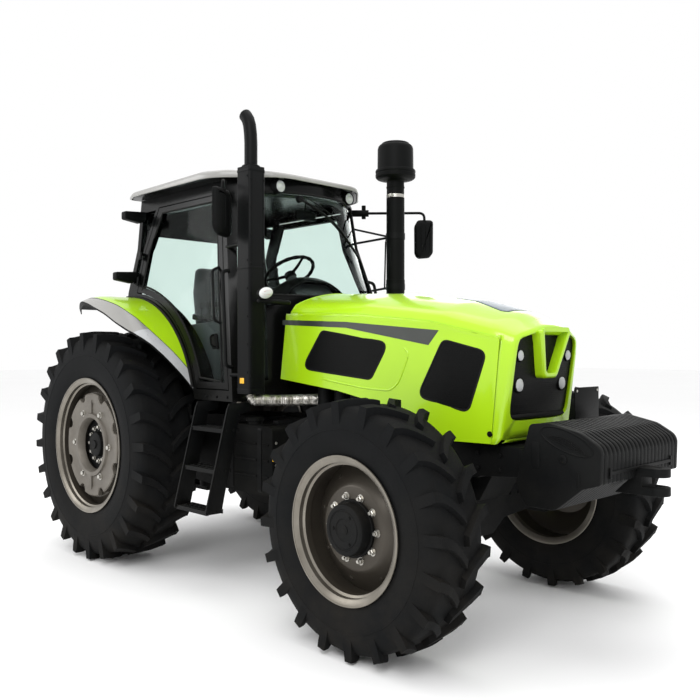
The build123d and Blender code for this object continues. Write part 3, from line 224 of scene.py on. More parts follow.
def make_punched_sheet():
    """Round holes in rows, staggered, seen along the axis chosen by the two directions given."""
    tree, inside, out = group("punched_sheet", [
        ("Along", "NodeSocketVector", (1, 0, 0)), ("Up", "NodeSocketVector", (0, 0, 1)),
        ("Pitch", "NodeSocketFloat", 0.009)], [("Holes", "NodeSocketFloat"), ("Height", "NodeSocketFloat")])
    place = node(tree, "ShaderNodeTexCoord").outputs["Object"]

    def share(direction):
        dot = node(tree, "ShaderNodeVectorMath", operation="DOT_PRODUCT")
        link(tree, place, dot.inputs[0])
        link(tree, direction, dot.inputs[1])
        return arithmetic(tree, "DIVIDE", dot.outputs["Value"], inside.outputs["Pitch"])

    across, up = share(inside.outputs["Along"]), share(inside.outputs["Up"])
    row = arithmetic(tree, "FLOOR", up)
    odd = arithmetic(tree, "MULTIPLY", arithmetic(tree, "FLOORED_MODULO", row, 2.0), 0.5)
    u = arithmetic(tree, "SUBTRACT", arithmetic(tree, "FRACT", arithmetic(tree, "ADD", across, odd)), 0.5)
    v = arithmetic(tree, "SUBTRACT", arithmetic(tree, "FRACT", up), 0.5)
    square = arithmetic(tree, "ADD", arithmetic(tree, "MULTIPLY", u, u), arithmetic(tree, "MULTIPLY", v, v))
    holes = ranged(tree, arithmetic(tree, "SQRT", square), 0.30, 0.36, 1.0, 0.0)
    link(tree, holes, out.inputs["Holes"])
    link(tree, arithmetic(tree, "SUBTRACT", 1.0, holes), out.inputs["Height"])
    return tree


FIELD_DUST = make_field_dust()
TONAL_DRIFT = make_tonal_drift()
CAST_SKIN = make_cast_skin()
WEAR_MARKS = make_wear_marks()
PUNCHED_SHEET = make_punched_sheet()


# ---- Materials ---------------------------------------------------------------------------
def srgb(red, green, blue):
    """Linear colour from the usual 0 to 255 values."""
    def linear(value):
        value = value / 255
        return value / 12.92 if value <= 0.04045 else ((value + 0.055) / 1.055) ** 2.4
    return (linear(red), linear(green), linear(blue), 1.0)


DUST_TONE = srgb(128, 116, 98)


def placed(tree, which, **values):
    made = node(tree, "ShaderNodeGroup")
    made.node_tree = which
    for key, value in values.items():
        made.inputs[key.replace("_", " ").title()].default_value = value
    return made


def finish_of(name, tone, other, rough, spread=0.1, drift=3.0, dust=0.2, dust_by=1.6,
              skin=(60.0, 500.0, 0.5), relief=0.0002, strength=0.3, metallic=0.0, coat=0.0, coat_rough=0.1,
              wear=None, sheen=0.0, specular=0.5):
    """A painted, moulded or cast finish: tones, dust, skin relief and, where asked, worn marks."""
    made = bpy.data.materials.new(name)
    made.use_nodes = True
    tree = made.node_tree
    shader = tree.nodes["Principled BSDF"]
    drifted = placed(tree, TONAL_DRIFT, tone=tone, other_tone=other, scale=drift, roughness=rough,
                     spread=spread)
    colour, roughness = drifted.outputs["Colour"], drifted.outputs["Roughness"]
    if wear:
        marks = placed(tree, WEAR_MARKS, scale=wear[0], rarity=wear[1])
        colour = mixed(tree, marks.outputs["Mask"], colour, wear[2])
    dusty = placed(tree, FIELD_DUST, amount=dust, patch_scale=5.0, fades_by=dust_by)
    colour = mixed(tree, dusty.outputs["Mask"], colour, DUST_TONE)
    roughness = arithmetic(tree, "ADD", roughness, arithmetic(tree, "MULTIPLY", dusty.outputs["Mask"], 0.5),
                           clamp=True)
    link(tree, colour, shader.inputs["Base Color"])
    link(tree, roughness, shader.inputs["Roughness"])
    bump = node(tree, "ShaderNodeBump")
    bump.inputs["Strength"].default_value = strength
    bump.inputs["Distance"].default_value = relief
    lumps = placed(tree, CAST_SKIN, coarse_scale=skin[0], fine_scale=skin[1], fine_share=skin[2])
    link(tree, lumps.outputs["Height"], bump.inputs["Height"])
    link(tree, bump.outputs["Normal"], shader.inputs["Normal"])
    shader.inputs["Metallic"].default_value = metallic
    shader.inputs["Coat Weight"].default_value = coat
    shader.inputs["Coat Roughness"].default_value = coat_rough
    shader.inputs["Sheen Weight"].default_value = sheen
    shader.inputs["Specular IOR Level"].default_value = specular
    return made


LIME_PAINT = finish_of("lime_paint", srgb(172, 218, 20), srgb(164, 210, 14), 0.28, 0.04, 1.5, 0.03, 1.5,
                       (8.0, 900.0, 0.10), 0.00006, 0.25, coat=0.5, coat_rough=0.06)
GREY_PAINT = finish_of("silver_grey_paint", srgb(150, 149, 146), srgb(141, 140, 137), 0.34, 0.06, 2.0, 0.10,
                       2.4, (10.0, 900.0, 0.2), 0.00008, 0.25, coat=0.4, coat_rough=0.08)
CHIP_GUARD = finish_of("chip_guard", srgb(190, 192, 194), srgb(170, 172, 174), 0.45, 0.12, 3.0, 0.20, 2.2,
                       (140.0, 600.0, 0.5), 0.0009, 0.5, coat=0.1, wear=(70.0, 0.60, srgb(120, 120, 120)))
RIM_PAINT = finish_of("rim_paint", srgb(70, 65, 58), srgb(58, 54, 48), 0.36, 0.12, 5.0, 0.12, 1.3,
                      (30.0, 500.0, 0.5), 0.0003, 0.35, metallic=0.55, wear=(26.0, 0.66, srgb(70, 64, 54)))
RIM_EDGE = finish_of("rim_edge_metal", srgb(136, 131, 122), srgb(112, 107, 98), 0.28, 0.12, 6.0, 0.10, 1.2,
                     (30.0, 500.0, 0.5), 0.0002, 0.3, metallic=0.8, wear=(30.0, 0.66, srgb(100, 94, 82)))
CAST_PAINT = finish_of("cast_disc_paint", srgb(112, 107, 99), srgb(92, 87, 80), 0.42, 0.14, 6.0, 0.14, 1.4,
                       (70.0, 420.0, 0.6), 0.0012, 0.5, metallic=0.45, wear=(34.0, 0.63, srgb(88, 80, 68)))
BLACK_FRAME = finish_of("black_frame_paint", srgb(9, 10, 11), srgb(13, 14, 14), 0.42, 0.14, 4.0, 0.03, 1.3,
                        (50.0, 450.0, 0.5), 0.0004, 0.35, wear=(40.0, 0.70, srgb(26, 25, 24)), specular=0.10)
BLACK_CAST = finish_of("black_cast_iron", srgb(10, 11, 12), srgb(16, 17, 17), 0.52, 0.16, 6.0, 0.04, 1.2,
                       (90.0, 380.0, 0.6), 0.0014, 0.55, wear=(44.0, 0.70, srgb(28, 27, 26)), specular=0.10)
BLACK_PLASTIC = finish_of("black_moulding", srgb(8, 9, 9), srgb(12, 13, 13), 0.50, 0.10, 5.0, 0.03, 1.8,
                          (120.0, 1400.0, 0.9), 0.0004, 0.4, specular=0.08)
GLOSS_BLACK = finish_of("black_cab_paint", srgb(6, 7, 7), srgb(9, 10, 10), 0.22, 0.06, 4.0, 0.04, 2.0,
                        (20.0, 900.0, 0.2), 0.0001, 0.2, coat=0.03, coat_rough=0.05, specular=0.12)
RUBBER = finish_of("tyre_rubber", srgb(12, 13, 14), srgb(17, 18, 19), 0.66, 0.14, 7.0, 0.05, 1.2,
                   (60.0, 700.0, 0.7), 0.0010, 0.55, wear=(36.0, 0.72, srgb(28, 28, 27)), specular=0.08)
SEAL_RUBBER = finish_of("seal_rubber", srgb(12, 12, 12), srgb(17, 17, 17), 0.62, 0.10, 9.0, 0.06, 1.5,
                        (160.0, 900.0, 0.8), 0.0004, 0.4, specular=0.2)
BRIGHT_STEEL = finish_of("bright_steel", srgb(196, 194, 188), srgb(166, 163, 156), 0.28, 0.16, 14.0, 0.10,
                         1.2, (80.0, 700.0, 0.7), 0.0003, 0.4, metallic=0.95,
                         wear=(60.0, 0.64, srgb(110, 100, 86)))
WORN_STEEL = finish_of("worn_tread_steel", srgb(96, 94, 90), srgb(60, 59, 57), 0.44, 0.18, 12.0, 0.20, 1.2,
                       (70.0, 500.0, 0.7), 0.0006, 0.5, metallic=0.7)
YELLOW_MARK = finish_of("yellow_mark", srgb(232, 176, 24), srgb(220, 164, 20), 0.40, 0.08, 9.0, 0.08, 1.6,
                        (80.0, 900.0, 0.4), 0.0002, 0.3)
WHITE_MARK = finish_of("white_mark", srgb(214, 216, 214), srgb(200, 202, 200), 0.38, 0.06, 9.0, 0.04, 1.6,
                       (80.0, 900.0, 0.4), 0.0001, 0.2)
STRIPE_INK = finish_of("dark_stripe", srgb(40, 44, 40), srgb(50, 54, 49), 0.34, 0.05, 6.0, 0.03, 1.6,
                       (30.0, 900.0, 0.2), 0.0001, 0.2, coat=0.4, coat_rough=0.08)
HOOD_RECESS = finish_of("bonnet_recess_grey", srgb(112, 124, 132), srgb(94, 106, 114), 0.36, 0.08, 5.0,
                        0.05, 2.2, (40.0, 900.0, 0.3), 0.0003, 0.3)
SEAT_CLOTH = finish_of("seat_cloth", srgb(30, 32, 36), srgb(40, 42, 46), 0.82, 0.10, 9.0, 0.08, 2.0,
                       (420.0, 1300.0, 0.8), 0.0012, 0.6, sheen=0.35)
TRIM_GREY = finish_of("cab_trim", srgb(70, 72, 74), srgb(60, 62, 64), 0.60, 0.10, 5.0, 0.05, 2.0,
                      (150.0, 1200.0, 0.9), 0.0006, 0.5)
FLOOR_TONE = finish_of("studio_floor", srgb(251, 251, 251), srgb(249, 249, 249), 0.85, 0.02, 0.3, 0.0, 1.0,
                       (3.0, 80.0, 0.1), 0.0002, 0.1)


def punched_finish(name, along, up, pitch, tone, hole_tone):
    """Sheet with rows of small holes, as over the side vents and the nose."""
    made = bpy.data.materials.new(name)
    made.use_nodes = True
    tree = made.node_tree
    shader = tree.nodes["Principled BSDF"]
    sheet = placed(tree, PUNCHED_SHEET, along=along, up=up, pitch=pitch)
    drifted = placed(tree, TONAL_DRIFT, tone=tone, other_tone=tone, scale=5.0, roughness=0.42, spread=0.1)
    link(tree, mixed(tree, sheet.outputs["Holes"], drifted.outputs["Colour"], hole_tone),
         shader.inputs["Base Color"])
    link(tree, drifted.outputs["Roughness"], shader.inputs["Roughness"])
    bump = node(tree, "ShaderNodeBump")
    bump.inputs["Strength"].default_value = 0.7
    bump.inputs["Distance"].default_value = 0.002
    link(tree, sheet.outputs["Height"], bump.inputs["Height"])
    link(tree, bump.outputs["Normal"], shader.inputs["Normal"])
    shader.inputs["Specular IOR Level"].default_value = 0.12
    return made


SIDE_MESH = punched_finish("side_vent_mesh", (1, 0, 0), (0, 0, 1), 0.010, srgb(7, 8, 8), srgb(2, 2, 2))
NOSE_MESH = punched_finish("nose_mesh", (0, 1, 0), (0, 0, 1), 0.012, srgb(8, 9, 9), srgb(2, 2, 2))


def clear_finish(name, tone, rough, transmission, ior):
    """Glass and lens finish: clear body, faint smears in its roughness; below full transmission the rest of
    its light is its tone, diffuse.
    """
    made = bpy.data.materials.new(name)
    made.use_nodes = True
    tree = made.node_tree
    shader = tree.nodes["Principled BSDF"]
    drifted = placed(tree, TONAL_DRIFT, tone=tone, other_tone=tuple(c * 0.94 for c in tone[:3]) + (1.0,),
                     scale=1.2, roughness=rough, spread=0.02)
    link(tree, drifted.outputs["Colour"], shader.inputs["Base Color"])
    link(tree, drifted.outputs["Roughness"], shader.inputs["Roughness"])
    shader.inputs["Transmission Weight"].default_value = transmission
    shader.inputs["IOR"].default_value = ior
    return made


CAB_GLASS = clear_finish("tinted_cab_glass", srgb(236, 248, 244), 0.01, 1.0, 1.08)
# Lamp lens: half its light is a diffuse near-white base, a painted reflection of the bright reflector behind
# it.
LENS_WITH_PAINTED_REFLECTION = clear_finish("lens_with_painted_reflection", srgb(244, 247, 247), 0.05, 0.50, 1.3)
RED_LENS = clear_finish("red_lens", srgb(200, 24, 18), 0.12, 0.35, 1.4)
AMBER_LENS = clear_finish("amber_lens", srgb(236, 120, 20), 0.12, 0.35, 1.4)
MIRROR_FACE = finish_of("mirror_face", srgb(210, 214, 216), srgb(200, 204, 206), 0.04, 0.02, 2.0, 0.02, 2.0,
                        (20.0, 900.0, 0.1), 0.00002, 0.1, metallic=1.0)


# ---- Making pieces -----------------------------------------------------------------------
def piece(name, body_mesh, material, stands_for=(), body="chassis", smooth=40.0, bevel=0.0):
    """Turns a bmesh into a shown piece that rides on a CAD body."""
    bmesh.ops.recalc_face_normals(body_mesh, faces=body_mesh.faces)
    mesh = bpy.data.meshes.new(name)
    body_mesh.to_mesh(mesh)
    body_mesh.free()
    made = bpy.data.objects.new(name, mesh)
    bpy.context.scene.collection.objects.link(made)
    finishes = material if isinstance(material, list) else [material]
    for one in finishes:
        mesh.materials.append(one)
    if smooth:
        mesh.polygons.foreach_set("use_smooth", [True] * len(mesh.polygons))
        mesh.set_sharp_from_angle(angle=math.radians(smooth))
    if bevel:
        softened = made.modifiers.new("softened_edges", "BEVEL")
        softened.width = bevel
        softened.segments = 2
        softened.limit_method = "ANGLE"
        softened.angle_limit = math.radians(35)
        softened.harden_normals = False
    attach(made, body)
    if stands_for:
        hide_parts(*([stands_for] if isinstance(stands_for, str) else stands_for))
    return made


def add_faces(mesh, points, faces, material_index=0):
    verts = [mesh.verts.new(p) for p in points]
    for face in faces:
        try:
            mesh.faces.new([verts[i] for i in face]).material_index = material_index
        except ValueError:
            continue


def lathe(mesh, profile, centre, axis="Y", steps=96, closed=False):
    """Sweeps (along, radius) pairs round an axis through centre."""
    points = []
    for i in range(steps):
        angle = math.radians(360.0 * i / steps)
        c, s = math.cos(angle), math.sin(angle)
        for along, radius in profile:
            offset = {"X": (along, radius * c, radius * s), "Y": (radius * s, along, radius * c),
                      "Z": (radius * c, radius * s, along)}[axis]
            points.append(centre + Vector(offset))
    n = len(profile)
    faces = []
    for i in range(steps):
        a, b = i * n, ((i + 1) % steps) * n
        last = n if closed else n - 1
        for j in range(last):
            k = (j + 1) % n
            faces.append((a + j, a + k, b + k, b + j))
    add_faces(mesh, points, faces)


def block(mesh, x, y, z):
    """Box between two corners."""
    points = [Vector((px, py, pz)) for px in x for py in y for pz in z]
    add_faces(mesh, points, [(0, 1, 3, 2), (4, 6, 7, 5), (0, 4, 5, 1), (2, 3, 7, 6), (0, 2, 6, 4),
                             (1, 5, 7, 3)])


def tube(mesh, path, radius, sides=14, caps=True):
    """Round tube along points, with its ring kept square to each run."""
    rings = []
    for i, point in enumerate(path):
        before = (point - path[i - 1]).normalized() if i else (path[1] - point).normalized()
        after = (path[i + 1] - point).normalized() if i < len(path) - 1 else before
        run = (before + after).normalized()
        helper = Vector((0, 0, 1)) if abs(run.z) < 0.95 else Vector((1, 0, 0))
        side = run.cross(helper).normalized()
        up = side.cross(run).normalized()
        size = radius(i / (len(path) - 1)) if callable(radius) else radius
        rings.append([point + (side * math.cos(2 * math.pi * k / sides) + up * math.sin(2 * math.pi * k
                / sides)) * size for k in range(sides)])
    points = [p for ring in rings for p in ring]
    faces = []
    for i in range(len(rings) - 1):
        for k in range(sides):
            nxt = (k + 1) % sides
            faces.append((i * sides + k, i * sides + nxt, (i + 1) * sides + nxt, (i + 1) * sides + k))
    if caps:
        faces.append(tuple(range(sides))[::-1])
        faces.append(tuple((len(rings) - 1) * sides + k for k in range(sides)))
    add_faces(mesh, points, faces)


def rounded_path(corners, radius, steps=6):
    """Corner points with each inner corner turned into a short arc-like run."""
    path = [corners[0]]
    for before, corner, after in zip(corners, corners[1:], corners[2:]):
        into, away = (before - corner), (after - corner)
        reach = min(radius, into.length * 0.48, away.length * 0.48)
        a, b = corner + into.normalized() * reach, corner + away.normalized() * reach
        for i in range(steps + 1):
            t = i / steps
            path.append(a * (1 - t) ** 2 + corner * 2 * t * (1 - t) + b * t * t)
    path.append(corners[-1])
    return path


def bolt(mesh, place, axis, size=0.018, height=0.012, washer=True):
    """Hexagon head on a washer, standing on a face whose outward direction is axis."""
    axis = axis.normalized()
    helper = Vector((0, 0, 1)) if abs(axis.z) < 0.9 else Vector((1, 0, 0))
    side = axis.cross(helper).normalized()
    up = axis.cross(side)
    turn = random.uniform(0, math.pi / 3)

    def ring(radius, lift, count, shift=0.0):
        return [place + axis * lift + (side * math.cos(shift + 2 * math.pi * k / count)
                                       + up * math.sin(shift + 2 * math.pi * k / count)) * radius
                for k in range(count)]

    def stack(rings, count):
        points = [p for r in rings for p in r]
        faces = [tuple(range(count))[::-1], tuple((len(rings) - 1) * count + k for k in range(count))]
        for i in range(len(rings) - 1):
            faces += [(i * count + k, i * count + (k + 1) % count, (i + 1) * count + (k + 1) % count,
                       (i + 1) * count + k) for k in range(count)]
        add_faces(mesh, points, faces)

    if washer:
        stack([ring(size * 0.72, -0.001, 16), ring(size * 0.72, 0.003, 16)], 16)
    stack([ring(size * 0.52, 0.0, 6, turn), ring(size * 0.52, height * 0.85, 6, turn),
           ring(size * 0.42, height, 6, turn)], 6)


def skin(mesh, rings, closed=True, caps=True, material_index=0):
    """Surface through rings that have the same number of points."""
    n, last = len(rings[0]), len(rings[0]) if closed else len(rings[0]) - 1
    faces = [(i * n + k, i * n + (k + 1) % n, (i + 1) * n + (k + 1) % n, (i + 1) * n + k)
             for i in range(len(rings) - 1) for k in range(last)]
    if caps and closed:
        faces += [tuple(range(n))[::-1], tuple((len(rings) - 1) * n + k for k in range(n))]
    add_faces(mesh, [p for ring in rings for p in ring], faces, material_index)


def rounded(corners, radii, steps=6):
    """Flat outline whose corners are turned into short curves."""
    outline, n = [], len(corners)
    for i, corner in enumerate(corners):
        radius = radii[i] if isinstance(radii, (list, tuple)) else radii
        corner, before, after = Vector(corner), Vector(corners[i - 1]), Vector(corners[(i + 1) % n])
        back, on = (before - corner), (after - corner)
        half = math.acos(max(-0.999, min(0.999, back.normalized().dot(on.normalized())))) / 2
        reach = min(radius / math.tan(half), back.length * 0.48, on.length * 0.48)
        a, b = corner + back.normalized() * reach, corner + on.normalized() * reach
        for k in range(steps + 1):
            t = k / steps
            outline.append(a * (1 - t) ** 2 + corner * 2 * t * (1 - t) + b * t * t)
    return outline


def grown(outline, by):
    """Flat outline moved outwards by a distance."""
    n = len(outline)
    area = sum(outline[i - 1].x * outline[i].y - outline[i].x * outline[i - 1].y for i in range(n))
    side = 1 if area > 0 else -1
    ring = []
    for i, point in enumerate(outline):
        run = outline[(i + 1) % n] - outline[i - 1]
        ring.append(point + Vector((run.y, -run.x)).normalized() * side * by)
    return ring


def slab(mesh, outline, place, low, high, rim=0.003):
    """Plate with softened rims; place turns (across, up, depth) into a point."""
    way = 1 if high > low else -1
    rings = [[place(p.x, p.y, depth) for p in grown(outline, by)]
             for depth, by in ((low, -rim), (low + way * rim * 0.3, -rim * 0.3), (low + way * rim, 0.0),
                               (high - way * rim, 0.0), (high - way * rim * 0.3, -rim * 0.3), (high, -rim))]
    skin(mesh, rings)


def blend(table, value):
    """Row of a table read at a value of its first column, between the rows next to it."""
    for first, second in zip(table, table[1:]):
        if value <= second[0]:
            break
    share = (value - first[0]) / (second[0] - first[0])
    return [a + (b - a) * share for a, b in zip(first[1:], second[1:])]


def both_sides(make):
    """Runs a maker for the left side, then for the right."""
    for side, sign in (("left", 1), ("right", -1)):
        make(side, sign)


# ---- Tyres -------------------------------------------------------------------------------
def smoothstep(t):
    return t * t * (3 - 2 * t)


def tyre_outline(radius, width, lug, bead_r, bead_half):
    """(across, radius) points of one half of the carcass, from bead to middle."""
    half, crown = width / 2, radius - lug
    rise = crown - bead_r
    shape = [(bead_half - 0.016, bead_r), (bead_half, bead_r + 0.003), (bead_half + 0.003, bead_r + 0.020),
             (half * 0.925, bead_r + rise * 0.16), (half * 0.965, bead_r + rise * 0.27),
             (half * 0.990, bead_r + rise * 0.40), (half * 0.998, bead_r + rise * 0.52),
             (half * 0.985, bead_r + rise * 0.66), (half * 0.950, bead_r + rise * 0.79),
             (half * 0.900, bead_r + rise * 0.885), (half * 0.830, bead_r + rise * 0.950),
             (half * 0.720, bead_r + rise * 0.985), (half * 0.500, crown - 0.001), (half * 0.250, crown),
             (0.0, crown)]
    ribs = [(half * 0.9985, bead_r + rise * 0.56), (half * 0.9985 + 0.0016, bead_r + rise * 0.565),
            (half * 0.9985 + 0.0016, bead_r + rise * 0.575), (half * 0.9965, bead_r + rise * 0.58)]
    return shape[:7] + ribs + shape[7:]


def carcass_radius(outline, across):
    """Radius of the carcass at a distance from the middle plane, on the tread side."""
    run = [p for p in outline if p[1] > outline[6][1]]
    run.sort(key=lambda p: p[0])
    for (y0, r0), (y1, r1) in zip(run, run[1:]):
        if y0 <= across <= y1:
            return r0 + (r1 - r0) * (across - y0) / max(y1 - y0, 1e-9)
    return run[-1][1]


def add_lug(mesh, outline, radius, width, lug_run, lug_width, angle, side, centre):
    """One bent bar of tread: steep by the middle, nearly straight across at the shoulder, blunt end."""
    half = width / 2
    stations = 9
    sections = []
    for i in range(stations):
        t = i / (stations - 1)
        across = half * (0.02 + 0.965 * t)
        round_by = lug_run * (0.5 - (1 - (1 - t) ** 1.75))
        base = carcass_radius(outline, min(across, half * 0.985)) - 0.012
        if t > 0.92:
            base -= 0.03
        top = radius - 0.0015 - 0.010 * smoothstep(max(0.0, (t - 0.6) / 0.4))
        wide = lug_width * (0.92 + 0.18 * t)
        foot = wide * 1.34
        ring = []
        for share, reach, height in ((-1, foot, 0.0), (-1, wide * 1.04, 0.80), (-1, wide * 0.90, 1.0),
                                     (1, wide * 0.90, 1.0), (1, wide * 1.04, 0.80), (1, foot, 0.0)):
            local_r = base + (top - base) * height
            turn = angle + (round_by + share * reach / 2) / radius
            ring.append(centre + Vector((math.sin(turn) * local_r, side * across,
                                         math.cos(turn) * local_r)))
        sections.append(ring)
    points = [p for ring in sections for p in ring]
    n = 6
    faces = [tuple(range(n))[::-1], tuple((stations - 1) * n + k for k in range(n))]
    for i in range(stations - 1):
        faces += [(i * n + k, i * n + k + 1, (i + 1) * n + k + 1, (i + 1) * n + k) for k in range(n - 1)]
    add_faces(mesh, points, faces)


def dress_tyre(which, side, centre, radius, width, lug, bead_r, bead_half, count, lug_run, lug_width, body):
    outline = tyre_outline(radius, width, lug, bead_r, bead_half)
    mesh = bmesh.new()
    whole = outline + [(-y, r) for y, r in outline[-2::-1]]
    lathe(mesh, whole, centre, "Y", 132, closed=True)
    set_back = math.asin((lug_run + lug_width) / 2 / radius)
    for row, phase in ((1, 0.0), (-1, 0.5)):
        for i in range(count):
            angle = 2 * math.pi * (i + phase) / count - set_back
            add_lug(mesh, outline, radius, width, lug_run, lug_width, angle, row, centre)
    piece(f"tyre_{which}_{side}_tread", mesh, RUBBER, f"tyre_{which}_{side}", body=body, smooth=32.0)


REAR_TYRE = dict(radius=0.865, width=0.467, lug=0.038, bead_r=0.480, bead_half=0.200, count=24,
                 lug_run=0.140, lug_width=0.054)
FRONT_TYRE = dict(radius=0.668, width=0.375, lug=0.034, bead_r=0.354, bead_half=0.1645, count=20,
                  lug_run=0.130, lug_width=0.050)


# ---- Rims --------------------------------------------------------------------------------
def rim_profile(flange_r, seat_r, half):
    """Closed (across, radius) outline of a rolled rim with a rounded, stepped flange either side."""
    outer = [(-half, flange_r - 0.004), (-half + 0.002, flange_r), (-half + 0.008, flange_r - 0.001),
             (-half + 0.014, seat_r + 0.008), (-half + 0.022, seat_r)]
    inner = [(-half + 0.016, seat_r - 0.014), (-half + 0.006, seat_r + 0.004)]
    mirrored_outer = [(-y, r) for y, r in outer[::-1]]
    well = [(half - 0.006, seat_r + 0.004), (half - 0.016, seat_r - 0.010), (half - 0.040, seat_r - 0.012),
            (half - 0.048, seat_r - 0.024), (half - 0.085, seat_r - 0.026), (half - 0.095, seat_r - 0.014),
            (-half + 0.060, seat_r - 0.014)]
    return outer + mirrored_outer + well + inner


def brighten_flanges(mesh, centre, half):
    """Second finish on the stepped flange, down to the barrel."""
    for face in mesh.faces:
        if abs(face.calc_center_median().y - centre.y) > half - 0.046:
            face.material_index = 1


def rolled_rim(name, side, out, centre, half, flange_r, seat_r):
    """Barrel of a rim with brightened flanges, and the bright edge on its outer side."""
    body = f"wheel_{name}_{side}"
    mesh = bmesh.new()
    lathe(mesh, out(rim_profile(flange_r, seat_r, half)), centre, "Y", 128, closed=True)
    brighten_flanges(mesh, centre, half)
    piece(f"rim_{name}_{side}_barrel", mesh, [RIM_PAINT, RIM_EDGE], body=body, smooth=30.0)
    mesh = bmesh.new()
    edge = [(half + 0.0005, flange_r - 0.0085), (half + 0.0012, flange_r - 0.005),
            (half + 0.0002, flange_r + 0.0005), (half - 0.006, flange_r + 0.0012),
            (half - 0.0125, flange_r - 0.005), (half - 0.0120, flange_r - 0.010)]
    lathe(mesh, out(edge), centre, "Y", 128, closed=True)
    piece(f"rim_{name}_{side}_bright_edge", mesh, RIM_EDGE, body=body, smooth=40.0)


def dress_rear_rim(side, sign):
    centre = REAR_AXLE + Vector((0, sign * REAR_WHEEL_Y, 0))
    body = f"wheel_rear_{side}"
    half, face = 0.220, 0.174

    def out(profile):
        return [(sign * y, r) for y, r in profile]

    rolled_rim("rear", side, out, centre, half, 0.508, 0.480)
    # Cast disc with notches round its edge, a raised collar and six bolts.
    mesh = bmesh.new()
    edge_r, notch_r, notches, steps = 0.388, 0.040, 8, 320
    rings = []
    for i in range(steps):
        angle = 2 * math.pi * i / steps
        near = min(abs((angle - 2 * math.pi * (k + 0.5) / notches + math.pi) % (2 * math.pi) - math.pi)
                   for k in range(notches))
        reach = near * 0.382
        rim_here = edge_r if reach > notch_r else 0.382 - math.sqrt(notch_r ** 2 - reach ** 2)
        ring = []
        for depth, radius in ((face - 0.034, rim_here + 0.002), (face - 0.006, rim_here + 0.002),
                              (face, rim_here - 0.006), (face, 0.325), (face - 0.004, 0.316),
                              (face - 0.004, 0.242), (face + 0.010, 0.236), (face + 0.010, 0.208),
                              (face - 0.004, 0.198), (face - 0.045, 0.190)):
            ring.append(centre + Vector((math.sin(angle) * radius, sign * depth, math.cos(angle) * radius)))
        rings.append(ring)
    n = len(rings[0])
    add_faces(mesh, [p for ring in rings for p in ring],
              [(i * n + j, i * n + j + 1, ((i + 1) % steps) * n + j + 1, ((i + 1) % steps) * n + j)
               for i in range(steps) for j in range(n - 1)])
    for i in range(2):
        turn = math.pi * i
        middle = round_hub(centre, turn, 0.290, sign * (face - 0.002))
        block(mesh, (middle.x - 0.008, middle.x + 0.008), (middle.y - 0.007, middle.y + 0.007),
              (middle.z - 0.048, middle.z + 0.048))
    piece(f"rim_rear_{side}_cast_disc", mesh, CAST_PAINT, body=body, smooth=28.0)
    # Pressed web of the rim that the disc is bolted to, set back in the barrel.
    mesh = bmesh.new()
    lathe(mesh, out([(face - 0.036, 0.340), (face - 0.036, 0.398), (face - 0.050, 0.412),
                     (face - 0.078, 0.462), (face - 0.090, 0.462), (face - 0.060, 0.404),
                     (face - 0.048, 0.392), (face - 0.048, 0.340)]), centre, "Y", 112, closed=True)
    piece(f"rim_rear_{side}_web", mesh, RIM_PAINT, body=body, smooth=30.0)
    mesh = bmesh.new()
    for turn in turns(6, 0.5):
        bolt(mesh, round_hub(centre, turn, 0.265, sign * (face - 0.004)),
             Vector((0, sign, 0)), 0.034, 0.020)
    for turn in turns(12):
        bolt(mesh, round_hub(centre, turn, 0.130, sign * (face - 0.062)),
             Vector((0, sign, 0)), 0.026, 0.018)
    piece(f"rim_rear_{side}_bolts", mesh, BRIGHT_STEEL, body=body, smooth=30.0)
    mesh = bmesh.new()
    lathe(mesh, out([(-0.235, 0.0), (-0.235, 0.060), (face - 0.085, 0.060), (face - 0.082, 0.205),
                     (face - 0.070, 0.205), (face - 0.066, 0.160), (face - 0.066, 0.098),
                     (face - 0.030, 0.090), (face - 0.026, 0.082), (face - 0.026, 0.034),
                     (face - 0.016, 0.030), (face - 0.016, 0.0)]), centre, "Y", 72)
    made = piece(f"rim_rear_{side}_hub", mesh, BLACK_CAST, body=body, smooth=30.0)
    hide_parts(f"rim_rear_{side}")


